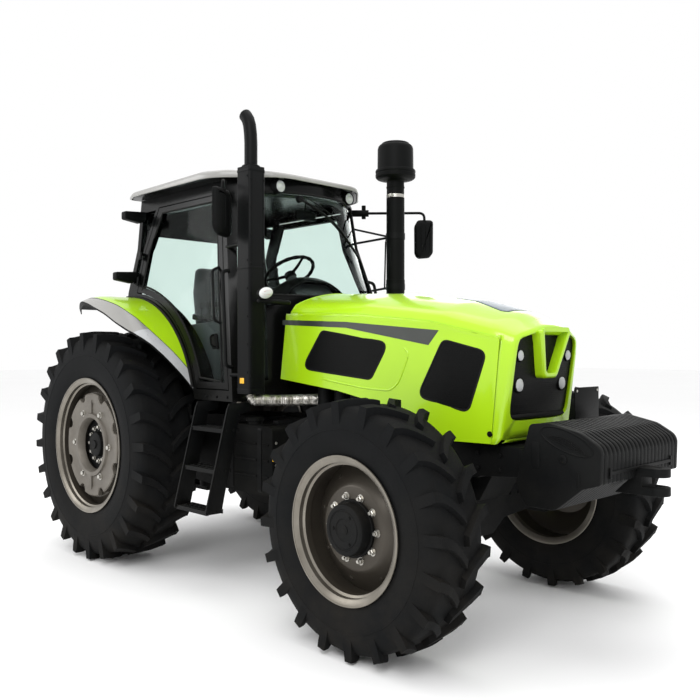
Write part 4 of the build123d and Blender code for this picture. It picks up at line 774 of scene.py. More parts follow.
def dress_front_rim(side, sign):
    centre = FRONT_AXLE + Vector((0, sign * FRONT_WHEEL_Y, 0))
    body = f"wheel_front_{side}"
    half, face, cap = 0.1845, 0.0945, 0.1685

    def out(profile):
        return [(sign * y, r) for y, r in profile]

    rolled_rim("front", side, out, centre, half, 0.382, 0.354)
    mesh = bmesh.new()
    lathe(mesh, out([(-0.006, 0.341), (0.008, 0.341), (0.012, 0.330), (face - 0.020, 0.240),
                     (face - 0.004, 0.222), (face, 0.212), (face, 0.140), (face - 0.012, 0.132),
                     (face - 0.014, 0.208), (face - 0.030, 0.228), (-0.002, 0.322)]), centre, "Y", 112,
          closed=True)
    # Eight flat heads on the dish's slope.
    for turn in turns(8, 0.3):
        place = round_hub(centre, turn, 0.285, sign * (face - 0.052))
        bolt(mesh, place, Vector((0.75 * math.sin(turn), sign, 0.75 * math.cos(turn))), 0.024, 0.006,
             washer=False)
    piece(f"rim_front_{side}_dish", mesh, RIM_PAINT, body=body, smooth=30.0)
    mesh = bmesh.new()
    for turn in turns(10, 0.5):
        place = round_hub(centre, turn, 0.1675, sign * face)
        tube(mesh, [place - Vector((0, sign * 0.004, 0)), place + Vector((0, sign * 0.028, 0))], 0.0085, 10)
        bolt(mesh, place, Vector((0, sign, 0)), 0.030, 0.019)
    piece(f"rim_front_{side}_studs", mesh, BRIGHT_STEEL, body=body, smooth=30.0)
    mesh = bmesh.new()
    lathe(mesh, out([(-0.020, 0.071), (-0.020, 0.150), (face + 0.016, 0.150), (face + 0.018, 0.147),
                     (face + 0.018, 0.139), (face + 0.030, 0.138), (cap - 0.012, 0.134),
                     (cap - 0.003, 0.129), (cap, 0.120), (cap, 0.106), (cap - 0.0035, 0.103),
                     (cap - 0.0035, 0.096), (cap, 0.093), (cap, 0.060), (cap - 0.004, 0.056),
                     (cap - 0.004, 0.0)]), centre, "Y", 96)
    lathe(mesh, out([(-0.020, 0.071), (0.058, 0.071), (0.058, 0.0)]), centre, "Y", 48)
    for turn in turns(3, 0.25):
        bolt(mesh, round_hub(centre, turn, 0.078, sign * cap),
             Vector((0, sign, 0)), 0.014, 0.005)
    bolt(mesh, centre + Vector((0.0, sign * (cap - 0.004), 0.0)), Vector((0, sign, 0)), 0.034, 0.004)
    made = piece(f"rim_front_{side}_hub", mesh, BLACK_CAST, body=body, smooth=30.0)
    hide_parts(f"rim_front_{side}")
    mesh = bmesh.new()
    stem = centre + Vector((0.288, sign * (face - 0.062), -0.142))
    tube(mesh, [stem, stem + Vector((0, sign * 0.030, 0)), stem + Vector((0, sign * 0.034, 0))],
         lambda t: 0.019 if t < 0.95 else 0.015, 20)
    piece(f"rim_front_{side}_valve", mesh, BRIGHT_STEEL, body=body)


def dress_wheels(side, sign):
    dress_tyre("rear", side, REAR_AXLE + Vector((0, sign * REAR_WHEEL_Y, 0)), body=f"wheel_rear_{side}",
               **REAR_TYRE)
    dress_tyre("front", side, FRONT_AXLE + Vector((0, sign * FRONT_WHEEL_Y, 0)), body=f"wheel_front_{side}",
               **FRONT_TYRE)
    dress_rear_rim(side, sign)
    dress_front_rim(side, sign)


both_sides(dress_wheels)


# ---- Finishes of the CAD's own pieces ----------------------------------------------------
def finish_node(name, material, bevel):
    made = NODES[name]
    made.data.materials.clear()
    made.data.materials.append(material)
    made.data.polygons.foreach_set("use_smooth", [True] * len(made.data.polygons))
    weld = made.modifiers.new("joined_corners", "WELD")
    weld.merge_threshold = 0.00005
    if bevel:
        soft = made.modifiers.new("softened_edges", "BEVEL")
        soft.width = bevel
        soft.segments = 2
        soft.limit_method = "ANGLE"
        soft.angle_limit = math.radians(40)
    split = made.modifiers.new("crisp_edges", "EDGE_SPLIT")
    split.split_angle = math.radians(30.0)


FINISHES = {
    "battery_box": (BLACK_PLASTIC, 0.006),
    "bonnet_side_panels": (LIME_PAINT, 0.0),
    "cab_frame": (GLOSS_BLACK, 0.0),
    "dashboard": (TRIM_GREY, 0.006),
    "door_glass_left": (CAB_GLASS, 0.0),
    "door_glass_right": (CAB_GLASS, 0.0),
    "door_left": (GLOSS_BLACK, 0.0),
    "door_right": (GLOSS_BLACK, 0.0),
    "drawbar": (BLACK_CAST, 0.003),
    "engine_block": (BLACK_CAST, 0.010),
    "exhaust_shroud": (BLACK_FRAME, 0.006),
    "front_axle": (BLACK_CAST, 0.006),
    "front_drive_shaft": (BLACK_FRAME, 0.002),
    "front_hitch": (BLACK_CAST, 0.004),
    "front_support": (BLACK_CAST, 0.006),
    "fuel_tank": (BLACK_PLASTIC, 0.0),
    "knuckle_left": (BLACK_CAST, 0.004),
    "knuckle_right": (BLACK_CAST, 0.004),
    "lift_arms": (BLACK_CAST, 0.003),
    "lift_rods": (WORN_STEEL, 0.0),
    "lower_links": (BLACK_CAST, 0.003),
    "rear_axle_housing": (BLACK_CAST, 0.003),
    "rear_windows": (CAB_GLASS, 0.0),
    "side_vents": (SIDE_MESH, 0.0),
    "steering_rod": (WORN_STEEL, 0.0),
    "transmission_housing": (BLACK_CAST, 0.004),
    "windscreen": (CAB_GLASS, 0.0),
}
for name, (material, bevel) in FINISHES.items():
    finish_node(name, material, bevel)


# ---- Bonnet and nose ---------------------------------------------------------------------
# x, half width, shoulder height, crown height of the bonnet's sections.
BONNET = [(1.500, 0.456, 1.800, 1.988), (2.300, 0.442, 1.775, 1.952), (2.900, 0.410, 1.710, 1.880),
          (3.200, 0.366, 1.640, 1.800), (3.335, 0.325, 1.590, 1.722), (3.400, 0.305, 1.566, 1.684)]
BONNET_SEAM = [(1.440, 1.845), (2.286, 1.804), (2.806, 1.751), (3.245, 1.653), (3.400, 1.600)]
NOSE_X, NOSE_TOP, NOSE_FOOT, NOSE_RAKE = 3.335, 1.690, 1.077, 0.091
LID_END = 3.248
MASK_MIDDLE, MASK_HALF, MASK_TALL = 1.434, 0.300, 0.238


def bonnet_ring(x, inset=0.0):
    """Upper outline of the bonnet at a station, right side to left, from the shoulder over the crown."""
    count = 20
    half, shoulder, crown = blend(BONNET, x)
    half, crown = half - inset, crown - inset
    eave, reach = crown - (crown - shoulder) * 0.42, half * 0.86
    right = [Vector((half, shoulder)), Vector((half * 0.997, shoulder + (eave - shoulder) * 0.25)),
             Vector((half * 0.975, shoulder + (eave - shoulder) * 0.58)),
             Vector((half * 0.932, shoulder + (eave - shoulder) * 0.84))]
    drop = crown - eave
    radius = (reach ** 2 + drop ** 2) / (2 * drop)
    top = []
    for k in range(count + 1):
        y = reach * (1 - 2 * k / count)
        top.append(Vector((y, crown - radius + math.sqrt(radius ** 2 - y ** 2))))
    left = [Vector((-p.x, p.y)) for p in right[::-1]]
    return [Vector((-p.x, p.y)) for p in right + top + left]


def bonnet_top(x, y):
    half, shoulder, crown = blend(BONNET, x)
    drop, reach = (crown - shoulder) * 0.42, half * 0.86
    radius = (reach ** 2 + drop ** 2) / (2 * drop)
    return crown - radius + math.sqrt(radius ** 2 - y ** 2)


def nose_at(z):
    return NOSE_X - NOSE_RAKE * max(0.0, NOSE_TOP - z) / (NOSE_TOP - NOSE_FOOT)


def dress_bonnet():
    mesh = bmesh.new()
    # Lid from the windscreen to the nose's seam, its lower edge on the seam with the fixed panels.
    rings = []
    for k in range(57):
        x = 1.5850 + (LID_END - 1.5850) * k / 56
        seam, = blend(BONNET_SEAM, x)
        half = blend(BONNET, x)[0]
        side = [Vector((-half, seam + 0.003)), Vector((-half, (seam + blend(BONNET, x)[1]) / 2 + 0.002))]
        ring = side + [p if p.y > seam + 0.006 else Vector((p.x, seam + 0.006)) for p in bonnet_ring(x)]
        ring += [Vector((-p.x, p.y)) for p in side[::-1]]
        rings.append([at(max(x, 1.641 + 0.236 * (p.y - 1.845) + 0.0004 * k), p.x, p.y) for p in ring])
    skin(mesh, rings, closed=False)
    # Nose: sides down to its foot, a rolled corner, then the front wall in to the mask.
    stations = [(0.0, 0.0), (0.25, 0.0), (0.5, 0.0), (0.75, 0.0), (1.0, 0.0)]
    roll = 0.022
    stations += [(1.0 + math.sin(math.radians(a)), 1 - math.cos(math.radians(a))) for a in (18, 36, 54, 72,
            90)]
    rings = []
    for along, inset in stations:
        ring = []
        for row in range(14):
            z = NOSE_FOOT + (1.56 - NOSE_FOOT) * row / 13
            back = nose_at(z) - roll
            seam_x = min(3.204 + 0.042 * (z - 1.127) / 0.513, 3.248)
            x = seam_x + (back - seam_x) * along if along <= 1.0 else back + roll * (along - 1.0)
            half = blend(BONNET, min(x, 3.335))[0] + (0.012 if row == 0 else 0.0)
            ring.append((x, -(half - roll * inset), z + (roll * inset if row == 0 else 0.0)))
        back = NOSE_X - roll
        x = LID_END + (back - LID_END) * along if along <= 1.0 else back + roll * (along - 1.0)
        for p in bonnet_ring(min(x, 3.335), roll * inset):
            over = 0.024 * max(0.0, 1 - (abs(p.x) / 0.27) ** 4) * max(0.0,
                    min(1.0, along - 0.6)) if p.y > 1.64 else 0.0
            front = nose_at(p.y) - NOSE_X
            ring.append((x + over + front * min(1.0, along), p.x, max(p.y, 1.575)))
        ring += [(px, -py, pz) for px, py, pz in ring[13::-1]]
        rings.append(ring)
    skin(mesh, [[at(*p) for p in ring] for ring in rings], closed=False)
    outer = rings[-1]
    foot_row = [(nose_at(NOSE_FOOT + roll), outer[-1][1] + (outer[0][1] - outer[-1][1]) * k / 12,
                 NOSE_FOOT + roll) for k in range(1, 12)]
    outer = outer + foot_row
    bands = []
    for share in (0.0, 0.5, 1.0):
        ring = []
        for px, py, pz in outer:
            way = Vector((py, pz - MASK_MIDDLE))
            way.normalize()
            reach = ((abs(way.x) / MASK_HALF) ** 8 + (abs(way.y) / MASK_TALL) ** 8) ** (-1 / 8)
            y, z = way.x * reach, MASK_MIDDLE + way.y * reach
            y, z = py + (y - py) * share, pz + (z - pz) * share
            ring.append((nose_at(z) + (px - nose_at(pz)) * (1 - share), y, z))
        bands.append(ring)
    bands.append([(x - 0.020, y * 0.992, MASK_MIDDLE + (z - MASK_MIDDLE) * 0.99) for x, y, z in bands[-1]])
    skin(mesh, [[at(*p) for p in ring] for ring in bands], caps=False)
    # Rolled lip under the front wall.
    under = [[(nose_at(NOSE_FOOT) - roll * (1 - math.sin(a)), y, NOSE_FOOT + roll * (1 - math.cos(a)))
              for y in [(-0.30 + 0.60 * k / 12) for k in range(13)]]
             for a in (0.0, 0.5, 1.0, 1.57)]
    skin(mesh, [[at(*p) for p in ring] for ring in under], closed=False)
    lid = piece("bonnet_lid_shell", mesh, LIME_PAINT, "bonnet_lid", body="bonnet", smooth=38.0)
    weld = lid.modifiers.new("joined_corners", "WELD")
    weld.merge_threshold = 0.0006
    wall = lid.modifiers.new("sheet_thickness", "SOLIDIFY")
    wall.thickness = 0.005
    wall.offset = -1.0
    # Tapered frame round the middle of the nose.
    mesh = bmesh.new()
    outer = rounded([(-0.066, 1.428), (0.066, 1.428), (0.160, 1.698), (-0.160, 1.698)],
                    [0.040, 0.040, 0.02, 0.02], 10)
    inner = rounded([(-0.046, 1.458), (0.046, 1.458), (0.126, 1.706), (-0.126, 1.706)],
                    [0.034, 0.034, 0.01, 0.01], 10)
    rings = []
    for out_by, grow, which in ((-0.016, 0.0, outer), (0.030, 0.0, outer), (0.041, -0.003, outer),
                                (0.046, -0.010, outer), (0.046, 0.008, inner), (0.042, 0.002, inner),
                                (0.034, 0.0, inner), (-0.014, 0.0, inner)):
        rings.append([at(nose_at(p.y) + out_by, p.x, p.y) for p in grown(which, grow)])
    skin(mesh, rings, caps=False)
    piece("nose_centre_frame", mesh, LIME_PAINT, body="bonnet", smooth=40.0)
    mesh = bmesh.new()
    rings = []
    for share in (1.012, 0.97, 0.8, 0.55, 0.3, 0.05):
        ring = []
        for a in turns(96):
            way = Vector((math.cos(a), math.sin(a)))
            reach = ((abs(way.x) / MASK_HALF) ** 8 + (abs(way.y) / MASK_TALL) ** 8) ** (-1 / 8) * share
            y, z = way.x * reach, MASK_MIDDLE + way.y * reach
            sunk = 0.018 if share > 0.9 else 0.013
            ring.append(at(nose_at(z) - sunk, y, z))
        rings.append(ring)
    skin(mesh, rings, caps=False)
    add_faces(mesh, rings[-1], [tuple(range(96))])
    piece("nose_mask_sheet", mesh, NOSE_MESH, "nose_mask", body="bonnet", smooth=40.0)
    # Black sill at the mask's foot.
    mesh = bmesh.new()
    sill = [[at(nose_at(z) - back, y, z) for y in [-0.27 + 0.54 * k / 16 for k in range(17)]]
            for back, z in ((0.012, 1.232), (0.004, 1.224), (0.001, 1.214), (0.004, 1.204), (0.016, 1.200))]
    skin(mesh, sill, closed=False)
    piece("nose_mask_sill", mesh, BLACK_PLASTIC, body="bonnet", smooth=50.0)


def dress_headlamps():
    bezels, dishes, lenses = bmesh.new(), bmesh.new(), bmesh.new()
    for y, z, lens_r, bezel_r in ((0.219, 1.395, 0.037, 0.047), (0.2435, 1.556, 0.029, 0.036)):
        for sign in (1, -1):
            centre = at(nose_at(z) - 0.014, sign * y, z)
            lathe(bezels, [(-0.004, bezel_r), (0.004, bezel_r), (0.007, bezel_r - 0.004),
                           (0.007, lens_r + 0.002), (-0.004, lens_r - 0.001)], centre, "X", 40)
            lathe(dishes, [(0.003, lens_r), (-0.010, lens_r * 0.72), (-0.018, lens_r * 0.36),
                           (-0.019, 0.010), (-0.006, 0.009), (-0.005, 0.0)], centre, "X", 40)
            lathe(lenses, [(0.004, lens_r), (0.008, lens_r * 0.85), (0.0105, lens_r * 0.5), (0.0115, 0.0)],
                  centre, "X", 40)
    piece("headlamp_bezels", bezels, BLACK_PLASTIC, "headlamps", body="bonnet")
    piece("headlamp_reflectors", dishes, MIRROR_FACE, body="bonnet")
    # The lenses are half diffuse near-white, a painted reflection of the reflector behind them.
    piece("headlamp_lenses", lenses, LENS_WITH_PAINTED_REFLECTION, body="bonnet")


def side_strip(mesh, sign, lower, upper, count):
    """Thin skin on the bonnet's upright side between two runs of (x, z)."""
    out, back = 0.0014, -0.001

    def on_run(run, t):
        lengths = [math.dist(a, b) for a, b in zip(run, run[1:])]
        goal = t * sum(lengths)
        for (a, b), length in zip(zip(run, run[1:]), lengths):
            if goal <= length + 1e-9:
                return [p + (q - p) * goal / length for p, q in zip(a, b)]
            goal -= length
        return run[-1]

    rings = []
    for k in range(count + 1):
        (x0, z0), (x1, z1) = on_run(lower, k / count), on_run(upper, k / count)
        rings.append([at(x, sign * (blend(BONNET, x)[0] + off), z)
                      for x, z, off in ((x0, z0, out), (x1, z1, out), (x1, z1, back), (x0, z0, back))])
    skin(mesh, rings)


def dress_bonnet_sides(side, sign):
    mesh = bmesh.new()
    side_strip(mesh, sign, [(1.552, 1.756), (2.155, 1.725), (2.798, 1.614)],
               [(1.552, 1.790), (2.155, 1.762), (2.871, 1.698)], 48)
    piece(f"bonnet_stripe_{side}", mesh, STRIPE_INK)
    # Pressed contour that runs under the rear vent and up to the stripe.
    mesh = bmesh.new()
    line = [(1.60, 1.445), (1.95, 1.398), (2.32, 1.352), (2.52, 1.345), (2.585, 1.40), (2.655, 1.560),
            (2.625, 1.600), (2.45, 1.655)]
    path = rounded_path([at(x, sign * (blend(BONNET, x)[0] - 0.0035), z) for x, z in line], 0.09, 8)
    tube(mesh, path, lambda t: 0.0075 * min(1.0, 8 * t, 8 * (1 - t)) + 0.0005, 10)
    piece(f"bonnet_contour_{side}", mesh, LIME_PAINT)
    # Rubber frames of both vents.
    mesh = bmesh.new()
    for corners in ([(1.934, 1.712), (2.506, 1.631), (2.364, 1.405), (1.744, 1.462)],
                    [(2.899, 1.647), (3.172, 1.578), (3.060, 1.241), (2.718, 1.318)]):
        outline = rounded(corners, 0.052, 8)
        rings = []
        for grow, out in ((0.004, -0.003), (0.004, 0.0015), (0.001, 0.003), (-0.003, 0.003),
                          (-0.006, 0.0015), (-0.006, -0.003)):
            rings.append([at(p.x, sign * (blend(BONNET, p.x)[0] + out), p.y) for p in grown(outline, grow)])
        skin(mesh, [[rings[j][i] for j in range(6)] for i in range(len(outline))]
             + [[rings[j][0] for j in range(6)]], caps=False)
    piece(f"vent_frames_{side}", mesh, SEAL_RUBBER)
    # Turn-latch low on the nose's side.
    mesh = bmesh.new()
    spot = at(3.190, sign * (blend(BONNET, 3.190)[0] + 0.001), 1.130)
    lathe(mesh, [(0.0, 0.016), (sign * 0.004, 0.016), (sign * 0.005, 0.012), (sign * 0.004, 0.0)], spot,
          "Y", 28)
    block(mesh, (spot.x - 0.004, spot.x + 0.018), (spot.y, spot.y + sign * 0.009),
          (spot.z - 0.006, spot.z + 0.004))
    piece(f"bonnet_latch_{side}", mesh, BLACK_PLASTIC, bevel=0.001)


def dress_bonnet_panel():
    """Long grey panel let into the bonnet's top, with a dark rim."""
    mesh = bmesh.new()
    for grow, lift, index in ((0.004, 0.0006, 1), (0.0, 0.0014, 0)):
        rings = []
        for k in range(25):
            x = 2.700 - grow + (0.450 + 2 * grow) * k / 24
            half = 0.052 + 0.112 * (x - 2.700) / 0.450 + grow
            half *= min(1.0, 0.55 + 6 * k / 24, 0.80 + 3 * (24 - k) / 24)
            rings.append([at(x, half * (1 - j / 6), bonnet_top(x, abs(half * (1 - j / 6))) + lift)
                          for j in range(13)])
        skin(mesh, rings, closed=False, material_index=index)
    made = piece("bonnet_top_panel", mesh, [HOOD_RECESS, SEAL_RUBBER], body="bonnet", smooth=60.0)
    wall = made.modifiers.new("sheet_thickness", "SOLIDIFY")
    wall.thickness = 0.0006


dress_bonnet()
dress_headlamps()
both_sides(dress_bonnet_sides)
dress_bonnet_panel()


# ---- Front weights -----------------------------------------------------------------------
WEIGHT_X, WEIGHT_HALF, WEIGHT_COUNT = 3.390, 0.430, 21
# x from the weights' rear foot, z, corner radius: one weight seen from the side.
WEIGHT_CORNERS = [(0.004, 0.900, 0.02), (0.062, 0.784, 0.06), (0.236, 0.784, 0.06), (0.386, 0.906, 0.04),
                  (0.480, 0.936, 0.016), (0.486, 1.116, 0.07), (0.372, 1.182, 0.12), (0.190, 1.221, 0.12),
                  (0.088, 1.207, 0.03)]


def weight_outline(lowered=0.0):
    corners = [(x, z - (lowered if z > 1.15 else lowered * 0.3 if z > 1.05 else 0.0)) for x, z,
               _ in WEIGHT_CORNERS]
    return rounded(corners, [r for _, _, r in WEIGHT_CORNERS], 8)


def dress_weights():
    def side_on(x, z, y):
        return at(WEIGHT_X + x, y, z)

    pitch = 2 * WEIGHT_HALF / WEIGHT_COUNT
    mesh = bmesh.new()
    low_outline, full = weight_outline(0.026), weight_outline()
    for k in range(WEIGHT_COUNT):
        y = -WEIGHT_HALF + (k + 0.5) * pitch
        if 0 < k < WEIGHT_COUNT - 1:
            slab(mesh, low_outline, side_on, y - pitch / 2 + 0.0004, y + pitch / 2 - 0.0004, 0.0022)
            slab(mesh, grown(full, -0.001), side_on, y - pitch * 0.36, y + pitch * 0.36, 0.005)
        else:
            slab(mesh, full, side_on, y - pitch * 0.5 + (0.0004 if k else 0.0),
                 y + pitch * 0.5 - (0.0 if k else 0.0004), 0.006)
    piece("front_weight_plates", mesh, BLACK_CAST, "front_weights", smooth=40.0)
    # Raised rim round the hand hold of each end plate, its ribs, boss and two bare pads.
    mesh = bmesh.new()
    for sign in (1, -1):
        face = sign * WEIGHT_HALF
        oval = [Vector((0.300 + 0.150 * math.cos(a) * 0.95 + 0.050 * math.sin(a) * 0.31,
                        1.135 - 0.150 * math.cos(a) * 0.31 + 0.050 * math.sin(a) * 0.95))
                for a in [2 * math.pi * k / 48 for k in range(48)]]
        rings = [[side_on(p.x, p.y, face + sign * out) for p in grown(oval, by)] for by,
                 out in ((0.007, -0.002), (0.004, 0.003), (0.0, 0.004), (-0.003, 0.002), (-0.005, -0.002))]
        skin(mesh, rings, caps=False)
        for row in range(4):
            shift = 0.012 * row
            path = [side_on(0.190 + 0.235 * t, 1.155 - 0.082 * t + 0.030 * math.sin(math.pi * t) - shift
                            * math.sin(math.pi * t), face + sign * 0.0005) for t in shares(10)]
            tube(mesh, path, 0.0028, 8)
        spot = side_on(0.283, 1.045, face)
        lathe(mesh, [(0.0, 0.022), (sign * 0.006, 0.022), (sign * 0.008, 0.018), (sign * 0.008, 0.010),
                     (sign * 0.004, 0.008), (sign * 0.004, 0.0)], spot, "Y", 28)
        slab(mesh, rounded(((0.10, 1.12), (0.15, 1.12), (0.15, 0.99), (0.10, 0.99)), 0.012),
             side_on, face, face + sign * 0.004, 0.0015)
        slab(mesh, rounded(((0.36, 0.99), (0.375, 0.99), (0.375, 0.91), (0.36, 0.91)), 0.006),
             side_on, face, face + sign * 0.004, 0.0015)
    piece("front_weight_castings", mesh, BLACK_CAST, smooth=45.0)
    # Clamp bar let into the front, with its two end hooks.
    mesh = bmesh.new()
    block(mesh, span_x(WEIGHT_X + 0.476, WEIGHT_X + 0.4895), (-0.345, 0.345), (0.980, 0.996))
    for y in (-0.345, 0.325):
        block(mesh, span_x(WEIGHT_X + 0.470, WEIGHT_X + 0.4905), (y, y + 0.020), (0.962, 1.014))
    piece("front_weight_clamp", mesh, BLACK_FRAME, bevel=0.002)
    # Bare plate on the weight carrier, with two small bolts.
    mesh = bmesh.new()
    outline = rounded(((0.150, 1.190), (0.420, 1.190), (0.420, 1.372), (0.150, 1.372)), 0.006, 3)
    slab(mesh, outline, across_up, 3.400, 3.406, 0.001)
    piece("front_bare_plate", mesh, BLACK_FRAME)
    mesh = bmesh.new()
    for y in (0.170, 0.400):
        bolt(mesh, at(3.406, y, 1.352), Vector((1, 0, 0)), 0.011, 0.004)
    piece("front_bare_plate_bolts", mesh, BRIGHT_STEEL)
    mesh = bmesh.new()
    for y in (0.190, 0.360):
        block(mesh, span_x(3.384, 3.400), (y, y + 0.022), (1.02, 1.24))
    piece("front_plate_stays", mesh, BLACK_FRAME, bevel=0.002)


dress_weights()


# ---- Rear fenders ------------------------------------------------------------------------
ARCH_X, ARCH_Z = -0.020, 1.000
FENDER_PROFILE = [(0.640, 1.000), (0.930, 1.000), (0.985, 0.9965), (1.025, 0.985), (1.060, 0.966),
                  (1.090, 0.938), (1.110, 0.908), (1.120, 0.885)]


# z, half width of the cab's side wall.
CAB_HALF = [(1.240, 0.762), (2.040, 0.710), (2.390, 0.634), (2.780, 0.602)]


def fender_edge(x):
    """Half width of the fender's outer edge in plan."""
    past = x - 0.26
    drop = 0.46 * (past / 0.725) ** 3.5 if past > 0 else 0.175 * (-past / 0.70) ** 2.2
    return max(1.105 - drop, 0.700)


# x, width of the light strip along the fender's edge.
STRIP_WIDTH = [(-0.45, 0.035), (-0.10, 0.050), (0.25, 0.070), (0.55, 0.100), (0.80, 0.105), (0.98, 0.070)]


def strip_edge(x):
    """Half width at which the lime paint ends and the light strip begins."""
    width, = blend(STRIP_WIDTH, x)
    return fender_edge(x) - width


def dress_fender(side, sign):
    def on_fender(turn, y, sunk=0.0):
        radius, = blend(FENDER_PROFILE, min(y, 1.1199))
        radius -= sunk
        return Vector((ARCH_X + radius * math.cos(turn), y, ARCH_Z + radius * math.sin(turn)))

    def settle(turn, limit):
        y = 1.05
        for _ in range(30):
            y = 0.5 * y + 0.5 * min(limit(on_fender(turn, y).x), 1.1199)
        return y

    lime, grey, under, edge_seal = [], [], [], []
    stations = 96
    for k in range(stations + 1):
        turn = math.radians(17.5 + (113.0 - 17.5) * k / stations)
        outer = settle(turn, fender_edge)
        split = min(settle(turn, strip_edge), outer - 0.012)
        split = max(split, 0.665)
        inner = 0.655

        def shown(y, sunk=0.0):
            p = on_fender(turn, y, sunk)
            return at(p.x, sign * p.y, p.z)

        lime.append([shown(inner + (split - inner) * j / 16) for j in range(17)])
        grey.append([shown(split + (outer - split) * j / 10, -0.0012 * math.sin(math.pi * j / 10))
                     for j in range(11)])
        lip = 0.020 + 0.030 * smoothstep(max(0.0, (math.degrees(turn) - 85.0) / 28.0))
        under.append([shown(outer), shown(outer, 0.006), shown(outer - 0.004, lip),
                      shown(outer - 0.012, lip), shown(outer - 0.014, 0.009)]
                     + [shown(outer - 0.014 - (outer - 0.014 - inner) * j / 10, 0.009) for j in range(1,
                11)])
        edge_seal.append(shown(split, -0.0004))
    mesh = bmesh.new()
    skin(mesh, lime, closed=False, material_index=0)
    skin(mesh, grey[30:], closed=False, material_index=1)
    skin(mesh, grey[:31], closed=False, material_index=2)
    skin(mesh, under, closed=False, material_index=3)
    for row, other in ((lime[0] + grey[0][1:], under[0]), (lime[-1] + grey[-1][1:], under[-1])):
        add_faces(mesh, row + other[1:], [tuple(range(len(row) + len(other) - 1))], 3)
    piece(f"rear_fender_{side}", mesh, [LIME_PAINT, GREY_PAINT, CHIP_GUARD, BLACK_PLASTIC], "rear_fenders",
          smooth=38.0)
    mesh = bmesh.new()
    tube(mesh, edge_seal, 0.0022, 8)
    piece(f"fender_joint_line_{side}", mesh, SEAL_RUBBER)
    # Rubber seal where the fender meets the cab's side.
    mesh = bmesh.new()
    path = []
    for k in range(41):
        turn = math.radians(19 + (92 - 19) * k / 40)
        x, z = ARCH_X + 1.004 * math.cos(turn), ARCH_Z + 1.004 * math.sin(turn)
        half, = blend(CAB_HALF, z)
        path.append(at(x, sign * (half + 0.008), z))
    tube(mesh, path, 0.010, 10)
    piece(f"fender_seal_{side}", mesh, SEAL_RUBBER)


both_sides(dress_fender)


# ---- Roof --------------------------------------------------------------------------------
ROOF_CORNERS = [(-0.075, -0.690), (0.060, -0.742), (1.085, -0.742), (1.460, -0.370), (1.460, 0.370),
                (1.085, 0.742), (0.060, 0.742), (-0.075, 0.690)]
ROOF_RADII = [0.06, 0.09, 0.26, 0.26, 0.26, 0.26, 0.09, 0.06]
ROOF_LENGTHWISE = [(-0.080, 2.862), (0.060, 2.884), (0.300, 2.908), (0.500, 2.918), (0.700, 2.920),
                   (0.940, 2.905), (1.180, 2.876), (1.340, 2.846), (1.480, 2.812)]


def roof_top(x, y):
    high, = blend(ROOF_LENGTHWISE, max(-0.08, min(x, 1.48)))
    return high - 0.070 * (abs(y) / 0.742) ** 4


def dress_roof():
    outline = rounded(ROOF_CORNERS, ROOF_RADII, 12)
    middle = Vector((0.69, 0.0))

    def cap_depth(x):
        rear = 0.045 * max(0.0, min(1.0, (0.10 - x) / 0.08))
        front = 0.010 * max(0.0, min(1.0, (x - 1.15) / 0.1))
        return 0.048 + rear + front

    def ring_of(share, lift):
        ring = []
        for p in outline:
            q = middle + (p - middle) * share
            ring.append(at(q.x, q.y, lift(q.x, q.y)))
        return ring

    def lower(x, y):
        return max(roof_top(x, y) - cap_depth(x), 2.785)

    mesh = bmesh.new()
    cap = [ring_of(0.985, lower), ring_of(0.998, lower), ring_of(1.0, lambda x, y: lower(x, y) + 0.004),
           ring_of(1.0, lambda x, y: roof_top(x, y) - 0.014), ring_of(0.996, lambda x, y: roof_top(x, y)
            - 0.006), ring_of(0.985, lambda x, y: roof_top(x, y) - 0.001)]
    cap += [ring_of(share, roof_top) for share in (0.96, 0.92, 0.86, 0.78, 0.68, 0.56, 0.42,
                                                                            0.28, 0.14, 0.02)]
    skin(mesh, cap, caps=False, material_index=0)
    band = [ring_of(0.992, lambda x, y: lower(x, y) + 0.002), ring_of(0.985, lambda x, y: 2.800),
            ring_of(0.975, lambda x, y: 2.787), ring_of(0.955, lambda x, y: 2.7815), ring_of(0.60, lambda x,
            y: 2.7815)]
    skin(mesh, band, caps=False, material_index=1)
    piece("roof_shell", mesh, [GREY_PAINT, GLOSS_BLACK], "roof", smooth=35.0)
    # Raised edges either side of the roof's middle.
    mesh = bmesh.new()
    for y in (-0.36, 0.36):
        path = [at(x, y, roof_top(x, y) - 0.004) for x in [0.10 + 1.10 * k / 20 for k in range(21)]]
        tube(mesh, path, 0.011, 8)
    piece("roof_ribs", mesh, GREY_PAINT)


dress_roof()


# ---- Cab ---------------------------------------------------------------------------------
# z, rear x, half width, pillar x, front x at the middle.
CAB_LEVELS = [(1.240, -0.110, 0.762, 1.400, 1.500), (2.040, -0.050, 0.710, 1.280, 1.545),
              (2.390, -0.042, 0.634, 1.160, 1.500), (2.780, -0.035, 0.602, 1.105, 1.430)]


def screen_at(y, z, out=0.0):
    """Point on the cab's bowed front, moved outwards."""
    _, half, pillar, front = blend(CAB_LEVELS, z)
    rise = front - pillar
    radius = (half ** 2 + rise ** 2) / (2 * rise)
    way = Vector((math.sqrt(radius ** 2 - y ** 2), y)).normalized()
    return at(front - radius + math.sqrt(radius ** 2 - y ** 2) + way.x * out, y + way.y * out, z)


def side_at(x, z, sign, out=0.0):
    """Point on the cab's side wall, moved outwards."""
    return at(x, sign * (blend(CAB_HALF, z)[0] + out), z)


